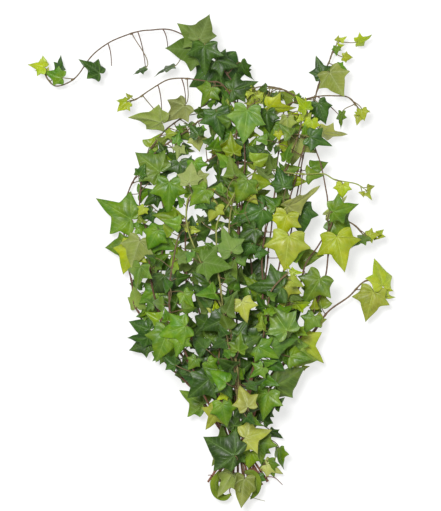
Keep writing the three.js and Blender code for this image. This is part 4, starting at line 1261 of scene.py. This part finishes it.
def vein_nodes(n):
    """The pattern of a leaf's veins: the main ones, the fine ones, and the paler zone by each."""
    u, v, kind = n.split(n.read("at", "Vector"))
    u = n.math("ABSOLUTE", u)

    def from_vein(direction):
        x, y = unit(np.array(direction, float)).tolist()
        along = n.sum(n.times(u, x), n.times(v, y))
        off = n.math("ABSOLUTE", n.less(n.times(u, y), n.times(v, x)))
        return along, n.sum(off, n.math("LESS_THAN", along, 0.0))

    def choose(share, a, b):
        return n.sum(n.times(a, n.less(1.0, share)), n.times(b, share))

    along, off = from_vein(MAIN_VEINS["tip"])
    side_along, side_off = from_vein(MAIN_VEINS["side"])
    plain_along, plain_off = from_vein(MAIN_VEINS["plain_side"])
    base_along, base_off = from_vein(MAIN_VEINS["base"])
    side_along = choose(kind, side_along, plain_along)
    side_off = choose(kind, side_off, plain_off)
    base_off = n.sum(base_off, kind)
    for other_along, other_off in ((side_along, side_off), (base_along, base_off)):
        is_nearer = n.math("LESS_THAN", other_off, off)
        along = choose(is_nearer, along, other_along)
        off = n.math("MINIMUM", off, other_off)
    width = n.scale_to(along, (0, 1), MAIN_VEIN["taper"])
    main = n.band(n.math("DIVIDE", off, width), MAIN_VEIN["half"], MAIN_VEIN["soft"])
    wobble = n.noise(n.read("at", "Vector"), *WOBBLE_NOISE)
    phase = n.less(along, n.times(off, FINE_VEIN["slant"]))
    phase = n.sum(phase, n.times(wobble, FINE_VEIN["wobble"]))
    phase = n.math("FRACT", n.times(phase, FINE_VEIN["per_length"]))
    phase = n.math("ABSOLUTE", n.less(phase, 0.5))
    fine = n.band(phase, FINE_VEIN["half"], FINE_VEIN["soft"])
    return main, fine, n.band(off, 0, MAIN_VEIN["zone"])


def leaf_material(name, face):
    n = Nodes(name)
    main, fine, near = vein_nodes(n)
    tone = n.math("DIVIDE", n.read("tone"), float(PALE))
    vary = n.read("vary")
    place = n.place()
    mottle, patch, blush = (n.noise(place, *LEAF_NOISE[key]) for key in ("mottle", "patch", "blush"))
    plain, warmer, pale = (
        n.ramp(tone, list(zip(TONE_STOPS, face[key]))) for key in ("colours", "blushes", "veins"))
    shift = n.add("ShaderNodeHueSaturation")
    n.put(n.mix(n.scale_to(blush, BLUSH["span"], BLUSH["share"]), plain, warmer), shift.inputs["Color"])
    n.put(n.scale_to(vary, (0, 1), LEAF_RANGE["hue"]), shift.inputs["Hue"])
    other = n.math("FRACT", n.times(vary, SECOND_DRAW))
    n.put(n.scale_to(other, (0, 1), LEAF_RANGE["saturation"]), shift.inputs["Saturation"])
    value = n.scale_to(vary, (0, 1), LEAF_RANGE["value"])
    value = n.sum(value, n.scale_to(mottle, NOISE_SPAN, LEAF_RANGE["mottle"]))
    value = n.sum(value, n.scale_to(patch, NOISE_SPAN, LEAF_RANGE["patch"]))
    n.put(value, shift.inputs["Value"])
    color = shift.outputs[0]
    shares = (VEIN_ZONE_SHARE, face["fine_share"], MAIN_VEIN_SHARE)
    for pattern, share in zip((near, fine, main), shares):
        color = n.mix(n.times(pattern, share), color, pale)
    n.shader.inputs["Specular IOR Level"].default_value = face["specular"]
    n.set_look(color, n.scale_to(mottle, NOISE_SPAN, face["rough"]))
    height = n.sum(n.times(main, face["relief"][0]), n.times(fine, face["relief"][1]))
    height = n.sum(height, n.times(mottle, LEAF_BUMP["mottle"]))
    n.bump(height, LEAF_BUMP["strength"], LEAF_BUMP["distance"])
    return n.material


# Bark: streaks drawn out along the stem, specks, and colours from old wood to new growth
BARK = {
    "stretch": (1.6, 1.6, 0.16), "streak": (2.2, 4.0, 0.65), "speck": (900.0, 2.0),
    "streaked": (-0.1, 0.1), "value": (0.85, 1.15), "speck_span": (0.35, 0.65),
    "specked": (-0.12, 0.12), "rough": (0.5, 0.72), "bump": (0.6, 0.0003), "speck_height": 0.4}
BARK_COLOURS = [
    (0.0, "#7c5038"), (0.14, "#7e5239"), (0.3, "#63452f"), (0.45, "#6b4e38"), (0.62, "#756442"),
    (0.82, "#868842"), (1.0, "#97a84c")]

# Cut wood and the tie: noise for the colour and for the grain, two colours, roughness, bump
PLAIN_LOOKS = {
    "ivy_cut_wood": ((1500.0, 3.0), (1500.0, 3.0), ("#b9ab74", "#dcd2a4"), (0.7, 0.85), (0.5, 0.0002)),
    "tie_rubber": ((160.0, 2.0), (1200.0, 3.0), ("#cdc19a", "#e2d9bb"), (0.55, 0.72), (0.4, 0.0002)),
}


def bark_material():
    n = Nodes("ivy_stem_skin")
    stretched = n.add("ShaderNodeCombineXYZ")
    axes = n.split(n.read("at", "Vector"))
    for axis, stretch, socket in zip(axes, BARK["stretch"], stretched.inputs):
        n.put(n.times(axis, stretch), socket)
    streak = n.noise(stretched.outputs[0], *BARK["streak"])
    speck = n.noise(n.place(), *BARK["speck"])
    streaked = n.scale_to(streak, NOISE_SPAN, BARK["streaked"])
    green = n.sum(n.read("tone"), streaked, clamp=True)
    shift = n.add("ShaderNodeHueSaturation")
    n.put(n.ramp(green, BARK_COLOURS), shift.inputs["Color"])
    value = n.scale_to(n.read("vary"), (0, 1), BARK["value"])
    value = n.sum(value, n.scale_to(speck, BARK["speck_span"], BARK["specked"]))
    n.put(value, shift.inputs["Value"])
    n.set_look(shift.outputs[0], n.scale_to(streak, NOISE_SPAN, BARK["rough"]))
    n.bump(n.sum(streak, n.times(speck, BARK["speck_height"])), *BARK["bump"])
    return n.material


def plain_material(name):
    """A material of two near colours with a fine grain."""
    patch_noise, grain_noise, colours, rough, bump = PLAIN_LOOKS[name]
    n = Nodes(name)
    grain = n.noise(n.place(), *grain_noise)
    patch = n.noise(n.place(), *patch_noise)
    color = n.ramp(patch, list(zip(NOISE_SPAN, colours)))
    n.set_look(color, n.scale_to(grain, NOISE_SPAN, rough))
    n.bump(grain, *bump)
    return n.material


trail_materials = [
    leaf_material("ivy_leaf_upper", UPPER_FACE), leaf_material("ivy_leaf_under", UNDER_FACE),
    bark_material(), plain_material("ivy_cut_wood")]

# Trails
SLOTS = {
    "ivy_dark": (1, 5, 13, 14, 15, 20, 21, 22, 23),
    "ivy_young": (2, 12, 17, 19, 24),
}


def slot_of(number):
    for slot, numbers in SLOTS.items():
        if number in numbers:
            return slot
    return "ivy_mid"


def tone_at(x, y, share):
    """A tone for a leaf at a place in plan: the mean of the zones near it, give or take."""
    weights = [
        math.exp(-(((x - zx) ** 2 + (y - zy) ** 2) / TONE_REACH ** 2))
        for zx, zy, _ in TONE_ZONES]
    mean = sum(w * tone for w, (_, _, tone) in zip(weights, TONE_ZONES)) / sum(weights)
    return min(max(mean + between(TONE_DRIFT, share), DEEP), PALE)


class Thicket:
    """What is already in the bunch: faces to keep clear of, and the places seen covered."""

    def __init__(self):
        self.trees = []
        self.lows = []
        self.highs = []
        self.tags = []
        self.top = np.full(GRID["count_x"] * GRID["count_y"], -1.0)
        self.bare = np.full(GRID["count_x"] * GRID["count_y"], -1.0)

    def add(self, points, triangles, tag):
        self.trees.append(BVHTree.FromPolygons(points.tolist(), triangles))
        self.lows.append(points.min(axis=0))
        self.highs.append(points.max(axis=0))
        self.tags.append(tag)

    def is_free(self, points, triangles, skip=None):
        lows, highs = np.array(self.lows), np.array(self.highs)
        low, high = points.min(axis=0) - NEAR, points.max(axis=0) + NEAR
        near = np.nonzero(np.all((lows < high) & (highs > low), axis=1))[0]
        if not len(near):
            return True
        own = BVHTree.FromPolygons(points.tolist(), triangles)
        return not any(self.tags[i] != skip and own.overlap(self.trees[i]) for i in near)

    def cells(self, points):
        column = ((points[:, 0] - GRID["x"]) / GRID["cell"]).astype(int)
        row = ((points[:, 1] - GRID["y"]) / GRID["cell"]).astype(int)
        column = np.clip(column, 0, GRID["count_x"] - 1)
        row = np.clip(row, 0, GRID["count_y"] - 1)
        return np.unique(column * GRID["count_y"] + row)

    def new_share(self, points):
        """The share of a leaf's place in plan where it would hide bare surface or a bare stem."""
        cells = self.cells(points)
        height = points[:, 2].mean()
        is_open = self.top[cells] < 0
        is_stem = (self.bare[cells] > self.top[cells]) & (self.bare[cells] < height)
        return (is_open | is_stem).mean() + STEM_COUNTS * is_stem.mean()

    def mark(self, points):
        cells = self.cells(points)
        self.top[cells] = np.maximum(self.top[cells], points[:, 2].mean())

    def mark_stem(self, points):
        """Notes a stem where it should be hidden: in the lower middle of the bunch."""
        y = points[:, 1]
        for point in points[(y < STEMS_HIDDEN["to"]) & (y > STEMS_HIDDEN["from"])]:
            cells = self.cells(point[None])
            self.bare[cells] = np.maximum(self.bare[cells], point[2])


def blade_fan(leaf, grow=1.0):
    """A leaf's outline as a fan of triangles on its middle surface."""
    keys = key_points(leaf) * grow
    uv = np.vstack([HUB, keys])
    count = len(keys)
    return blade_points(leaf, uv, 0.0), [(0, i + 1, (i + 1) % count + 1) for i in range(count)]


def blade_cover(leaf):
    """Points spread over a leaf, close enough to touch every cell of the grid under it."""
    keys = key_points(leaf)
    steps = (np.arange(COVER["steps"]) / COVER["steps"])[:, None, None]
    rim = keys[None] + (np.roll(keys, -1, axis=0) - keys)[None] * steps
    rim = rim.reshape(-1, 2)
    shares = np.linspace(COVER["first"], COVER["last"], COVER["rings"])[:, None, None]
    uv = np.array(HUB) + shares * (rim[None] - np.array(HUB))
    return blade_points(leaf, uv.reshape(-1, 2), 0.0)


def petiole_line(leaf, foot, count):
    notch = leaf["base"]
    reach = np.linalg.norm(notch - foot)
    level = (notch - foot) * [1, 1, 0]
    way_out = unit(level) if np.linalg.norm(level) > TINY else leaf["along"]
    near_foot = foot + way_out * PETIOLE_BEND * reach
    near_foot[2] = foot[2] + PETIOLE_RISE * reach
    near_blade = notch - leaf["along"] * PETIOLE_BEND * reach
    inside = notch + leaf["along"] * leaf["length"] * PETIOLE_SUNK
    return bezier(foot, near_foot, near_blade, inside, np.linspace(0, 1, count))


def stalk_proxy(leaf, foot):
    return ribbon(petiole_line(leaf, foot, STALK_PROXY["points"]), STALK_PROXY["half"])


def ribbon(line, half):
    """A thin upright and a thin level strip along a line."""
    points = np.vstack([line - [0, 0, half], line + [0, 0, half]])
    count = len(line)
    triangles = []
    for i in range(count - 1):
        triangles += [(i, i + 1, count + i + 1), (i, count + i + 1, count + i)]
    return points, triangles


def is_in_gap(points):
    """Whether a good part of a leaf lies in one of the bunch's open places."""
    for x, y, radius in GAPS:
        inside = np.hypot(points[:, 0] - x, points[:, 1] - y) < radius
        if inside.mean() > IN_GAP:
            return True
    return False


def young_leaf(smooth, run, turn, seed, plan):
    """A smaller leaf of the undergrowth, at a run along a stem."""
    point, direction = along_line(smooth, run)
    size = 1 - plan["shrink"] * smooth_step(run / smooth["length"])
    side = 1 if turn % 2 else -1
    way = math.degrees(math.atan2(direction[1], direction[0]))
    leaf = {
        "heading": way + side * between(plan["spread"], draw(seed + 0.11)),
        "length": size * between(plan["length"], draw(seed + 0.12)),
        "roll": between(plan["roll"], draw(seed + 0.13)),
        "pitch": between(plan["pitch"], draw(seed + 0.14)),
        "lobes": 5 if draw(seed + 0.15) < FIVE_LOBED_SHARE else 3}
    if draw(seed + 0.16) < plan["turned"]:
        leaf["roll"] += 180
    set_shape(leaf, seed)
    leaf["fold"] += MORE_FOLD * draw(seed + 0.17)
    reach = size * between(plan["petiole"], draw(seed + 0.18))
    way_out = outward(leaf["heading"] + side * between(plan["bend"], draw(seed + 0.19)))
    lift = between(plan["lift"], draw(seed + 0.21))
    leaf["base"] = point + way_out * reach + [0, 0, lift]
    tone = tone_at(leaf["base"][0], leaf["base"][1], draw(seed + 0.22))
    # Painted shade: the leaf's tone is lowered towards deep green by the plan's share, so that the lower
    # leaves read as shadowed
    leaf["tone"] = max(tone - plan["painted_shade"], 0)
    leaf["limp"] = 1
    leaf["rolled"] = between(plan["rolled"], draw(seed + 0.23))
    set_axes(leaf)
    return leaf, point


def undergrowth(trail, thicket, node, plan):
    """The smaller leaves between a trail's main ones, where the bunch has room for them."""
    smooth = trail["smooth"]
    run = plan["first"]
    turn = 0
    while run < smooth["length"] - plan["last"]:
        turn += 1
        best = None
        for attempt in range(plan["tries"]):
            seed = sum(a * b for a, b in zip((node + 1, turn, attempt), UNDER_SEEDS)) + plan["seed"]
            leaf, foot = young_leaf(smooth, run, turn + (attempt % 2), seed, plan)
            points = blade_cover(leaf)
            low, high = points[:, 2].min(), points[:, 2].max()
            if low < FITS["above_surface"] or high > cad_top - FITS["below_top"]:
                continue
            tip = leaf["base"] + leaf["along"] * leaf["length"]
            ends = (tip, leaf["base"])
            if is_in_gap(points) or not all(is_inside(x, y, DENSE) for x, y, _ in ends):
                continue
            if any(abs(other - run) < plan["clear"] for other in trail["feet"]):
                continue
            share = thicket.new_share(points)
            score = share * leaf["length"]
            if share < plan["least_new"] or (best and score <= best[0]):
                continue
            fan = blade_fan(leaf, FITS["grow"])
            stalk = stalk_proxy(leaf, foot)
            if thicket.is_free(*fan) and thicket.is_free(*stalk, skip=trail["name"]):
                best = (score, leaf, foot, fan, stalk, points)
        if best:
            _, leaf, foot, fan, stalk, points = best
            thicket.add(*fan, "leaf")
            thicket.add(*stalk, "stalk")
            thicket.mark(points)
            trail["feet"].append(run)
            trail["placed"].append((leaf, foot, run))
        run += between(plan["gap"], draw(turn * GAP_SEED + node))


def settle(trail, node, thicket):
    """Puts a trail's solid leaves in the thicket."""
    seed = TRAIL_SEEDS * (node + 1)
    rings, smooth = stem_lines(trail, node)
    corners = solid_corners(trail["name"])
    trail["smooth"] = smooth
    trail["placed"] = []
    trail["feet"] = []
    for i, leaf in enumerate(leaves_of(trail, rings, seed)):
        placed = as_placed(leaf, corners)
        if placed is None:
            continue
        if (trail["name"], i) in ROLLED:
            placed["rolled"], placed["roll_side"] = ROLLED[trail["name"], i]
        foot, run = nearest_on(smooth, placed["foot"])
        placed["limp"] = 0 if leaf["fold"] == 0 else 1
        if leaf.get("by_rule"):
            placed["tone"] = tone_at(placed["base"][0], placed["base"][1], draw(seed + run))
        trail["feet"].append(run)
        trail["placed"].append((placed, foot, run))
        thicket.add(*blade_fan(placed), "leaf")
        thicket.add(*stalk_proxy(placed, foot), "stalk")
        thicket.mark(blade_cover(placed))
    tie_leaves(trail)
    stem = ribbon(smooth["points"][::STEM_PROXY["every"]], STEM_PROXY["half"])
    thicket.add(*stem, trail["name"])
    thicket.mark_stem(smooth["points"])


def trail_parts(trail, node):
    """All the parts of a trail."""
    seed = TRAIL_SEEDS * (node + 1)
    smooth = trail["smooth"]
    parts = []
    for i, (leaf, foot, run) in enumerate(trail["placed"]):
        own = seed + LEAF_SEED + i
        green = float(stem_green(run, smooth["length"]))
        parts.append(blade_part(leaf, own))
        parts.append(petiole_part(leaf, foot, between(PETIOLE_GREEN, green), draw(own + 0.4)))
        _, way = along_line(smooth, run)
        lean = unit(way + BUD["lean"] * unit(leaf["base"] - foot))
        start = foot + lean * BUD["sunk"]
        parts.append(bud_part(start, lean, green + BUD["greener"], draw(own + 0.6)))
    parts.append(stem_part(smooth, trail["feet"], seed, trail["name"]))
    parts += tip_parts(smooth, seed)
    parts += [bare_stalk(trail, *stalk) for stalk in STALKS.get(trail["name"], [])]
    parts += bare_parts(trail)
    return parts


def bare_stalk(trail, x, y, end, drop):
    """A leafless petiole from the stem near a place in plan."""
    foot, _ = nearest_on(trail["smooth"], (x, y))
    tip = np.array([*end, max(foot[2] - drop, STALK["lowest"])])
    middle = (foot + tip) / 2
    handles = [
        start + (goal - start) * pull + bow
        for start, goal, pull, bow in zip((foot, middle), (middle, tip), STALK["pull"], STALK["bow"])]
    t = np.linspace(0, 1, STALK["points"])
    return tube_part(
        bezier(foot, *handles, tip, t), between(STALK["radius"], t), PETIOLE_SIDES,
        between(STALK["green"], t), STALK["vary"])


def curl_part(start, path, width, tilt, tone):
    """A curled leaf seen from its edge: a pointed band along a curve, hollow across."""
    points = spline([start, *path], SHOOT["steps"])
    count = len(points)
    t = np.linspace(0, 1, count)
    ways = np.gradient(points, axis=0)
    ways /= np.linalg.norm(ways, axis=1)[:, None]
    up = np.array([0, 0, 1.0])
    across = np.cross(ways, up)
    across /= np.linalg.norm(across, axis=1)[:, None]
    lean = math.radians(tilt)
    breadth = across * math.cos(lean) + up * math.sin(lean)
    out = np.cross(breadth, ways)
    place = np.clip(between(CURL["place"], t), 0, 1)
    half = width / 2 * np.sin(np.pi * place) ** CURL["blunt"] + CURL["least"]
    steps = np.linspace(-1, 1, CURL["across"])
    top, under, at = [], [], []
    for v in steps:
        hollow = out * (CURL["hollow"] * half * v * v)[:, None]
        middle = points + breadth * (half * v)[:, None] - hollow
        top.append(middle + out * CURL["thick"] / 2)
        under.append(middle - out * CURL["thick"] / 2)
        at.append(np.column_stack([np.full(count, CURL["vein_width"] * v), t, np.zeros(count)]))
    top, under, at = np.stack(top, 1), np.stack(under, 1), np.stack(at, 1)
    wide = len(steps)
    size = count * wide
    index = np.arange(size).reshape(count, wide)
    corners = (index[:-1, :-1], index[1:, :-1], index[1:, 1:], index[:-1, 1:])
    quads = np.column_stack([corner.ravel() for corner in corners])
    loop = np.concatenate([index[0], index[1:, -1], index[-1, -2::-1], index[-2:0:-1, 0]])
    after = np.roll(loop, -1)
    edge = np.column_stack([loop, after, after + size, loop + size])
    return {
        "points": np.vstack([top.reshape(-1, 3), under.reshape(-1, 3)]),
        "faces": [(quads, LOWER_SLOT), (quads[:, ::-1] + size, UPPER_SLOT), (edge, LOWER_SLOT)],
        "at": np.vstack([at.reshape(-1, 3)] * 2), "tone": tone, "vary": CURL["vary"]}


def shoot_part(start, path, radius, tone, tip_share, vary):
    """A thin bare shoot along a curve, narrower towards its tip."""
    points = spline([start, *path], SHOOT["steps"])
    radii = np.linspace(radius, radius * tip_share, len(points))
    return tube_part(points, radii, PETIOLE_SIDES, tone, vary)


def bare_parts(trail):
    """What a trail has without blades: thin shoots, loops of stem and curled strips."""
    start = trail["smooth"]["points"][0]
    parts = [
        shoot_part(start, *shoot, SHOOT["tip"], SHOOT["vary"])
        for shoot in SHOOTS.get(trail["name"], [])]
    for (near, *path), radius, tone in LOOPS.get(trail["name"], []):
        foot, _ = nearest_on(trail["smooth"], near)
        parts.append(shoot_part(foot, path, radius, tone, LOOP["tip"], LOOP["vary"]))
    parts += [curl_part(start, *curl) for curl in CURLS.get(trail["name"], [])]
    return parts


def tie_leaves(trail):
    """The small leaves that stand by the tie, on a stem's lowest stretch."""
    for i, (bx, by, tx, ty, z, roll, pitch, tone) in enumerate(TIE_LEAVES.get(trail["name"], [])):
        leaf = leaf_between(bx, by, tx, ty, roll, pitch, tone)
        leaf["base"][2] = z
        set_shape(leaf, TIE_LEAF["seed"] + i + tx)
        leaf["limp"] = 1
        leaf["rolled"] = TIE_LEAF["rolled"]
        set_axes(leaf)
        run = TIE_LEAF["first"] + TIE_LEAF["gap"] * i
        foot = along_line(trail["smooth"], run)[0]
        trail["placed"].append((leaf, foot, run))


pack_stems()
thicket = Thicket()
for node, trail in enumerate(TRAILS):
    settle(trail, node, thicket)
for plan in (UNDER, INFILL):
    for node, trail in enumerate(TRAILS):
        undergrowth(trail, thicket, node, plan)
for node, trail in enumerate(TRAILS):
    number = node + 1
    piece = make_piece(f"ivy_{number:02d}", trail_parts(trail, node), trail_materials)
    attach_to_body(piece, "root")
    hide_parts(trail["name"])
    slot_of(number)

# The tie: a rubber band wound three times round the stems
STRAND = {
    "count": 3, "steps": 72, "sides": 10, "drift": 0.12, "waves": 2, "half_y": 0.94,
    "half_out": 0.96}


def tie_parts():
    half = BAND["width"] / STRAND["count"] / 2
    middle = BAND["thick"] / 2
    angles = 2 * np.pi * np.arange(STRAND["steps"]) / STRAND["steps"]
    parts = []
    for strand in range(STRAND["count"]):
        drift = STRAND["drift"] * np.sin(angles * STRAND["waves"] + strand)
        shift = (strand - 1) * 2 * half + drift
        line = np.column_stack([
            TIE["x"] + (BAND["inner_x"] + middle) * np.cos(angles), TIE["y"] + shift,
            TIE["z"] + (BAND["inner_z"] + middle) * np.sin(angles)])
        parts.append(ring_part(line, half * STRAND["half_y"], middle * STRAND["half_out"]))
    return parts


def ring_part(line, half_y, half_out):
    """A closed strand round the tie's middle, broad along the stems."""
    count, sides = len(line), STRAND["sides"]
    centre = np.array([TIE["x"], 0, TIE["z"]])
    out = (line - centre) * np.array([1, 0, 1])
    out /= np.linalg.norm(out, axis=1)[:, None]
    angles = 2 * np.pi * np.arange(sides) / sides
    points = (
        line[:, None]
        + half_out * np.cos(angles)[None, :, None] * out[:, None]
        + half_y * np.sin(angles)[None, :, None] * np.array([0, 1, 0]))
    ring, step = np.meshgrid(np.arange(count), np.arange(sides), indexing="ij")
    next_ring, next_step = (ring + 1) % count, (step + 1) % sides
    quads = np.column_stack([
        (ring * sides + step).ravel(), (next_ring * sides + step).ravel(),
        (next_ring * sides + next_step).ravel(), (ring * sides + next_step).ravel()])
    return {
        "points": points.reshape(-1, 3), "faces": [(quads, 0)],
        "at": np.zeros((count * sides, 3)), "tone": 0.0, "vary": MIDDLING}


band = make_piece("band", tie_parts(), [plain_material("tie_rubber")])
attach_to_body(band, "root")
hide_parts("tie_band")

# Floor, light and camera
VIEW = {"x": 9, "y": 6.6, "z": 45, "away": 4000, "width": 529.2, "height": 613.2}
SENSOR = 36
CAMERA_REACH = 50
FLOOR = {"size": 6000, "drop": 0.3, "grey": 0.4, "rough": 0.9, "glow": 0.66}
WORLD_GLOW = 0.3
WHITE = (1, 1, 1, 1)
AIM = Vector((0, 0, 0.04))


def add_floor():
    half = FLOOR["size"] / 2 * METRES
    z = -FLOOR["drop"] * METRES
    corners = [(-half, -half, z), (half, -half, z), (half, half, z), (-half, half, z)]
    mesh = bpy.data.meshes.new("floor")
    mesh.from_pydata(corners, [], [(0, 1, 2, 3)])
    n = Nodes("white_paper")
    n.set_look((*[FLOOR["grey"]] * 3, 1), FLOOR["rough"])
    n.shader.inputs["Specular IOR Level"].default_value = 0
    n.shader.inputs["Emission Color"].default_value = WHITE
    n.shader.inputs["Emission Strength"].default_value = FLOOR["glow"]
    mesh.materials.append(n.material)
    floor = bpy.data.objects.new("floor", mesh)
    bpy.context.scene.collection.objects.link(floor)


def add_light(name, place, size, power):
    data = bpy.data.lights.new(name, "AREA")
    data.shape = "DISK"
    data.size = size
    data.energy = power
    light = bpy.data.objects.new(name, data)
    light.location = place
    light.rotation_euler = (AIM - Vector(place)).to_track_quat("-Z", "Y").to_euler()
    bpy.context.scene.collection.objects.link(light)


def add_camera():
    data = bpy.data.cameras.new("camera")
    data.sensor_fit = "VERTICAL"
    data.sensor_height = SENSOR
    data.sensor_width = SENSOR
    data.lens = SENSOR * VIEW["away"] / VIEW["height"]
    data.clip_end = CAMERA_REACH
    camera = bpy.data.objects.new("camera", data)
    camera.location = [VIEW[k] * METRES for k in ("x", "y", "z")]
    camera.location.z += VIEW["away"] * METRES
    bpy.context.scene.collection.objects.link(camera)
    bpy.context.scene.camera = camera


add_floor()
add_light("key", (-0.5, 0.6, 3.2), 0.8, 84)
add_light("fill", (1.6, -0.8, 2.6), 1.4, 10)
world = bpy.data.worlds.new("studio")
world.use_nodes = True
background = world.node_tree.nodes["Background"]
background.inputs["Color"].default_value = WHITE
background.inputs["Strength"].default_value = WORLD_GLOW
bpy.context.scene.world = world
bpy.context.scene.view_settings.view_transform = "Standard"
add_camera()
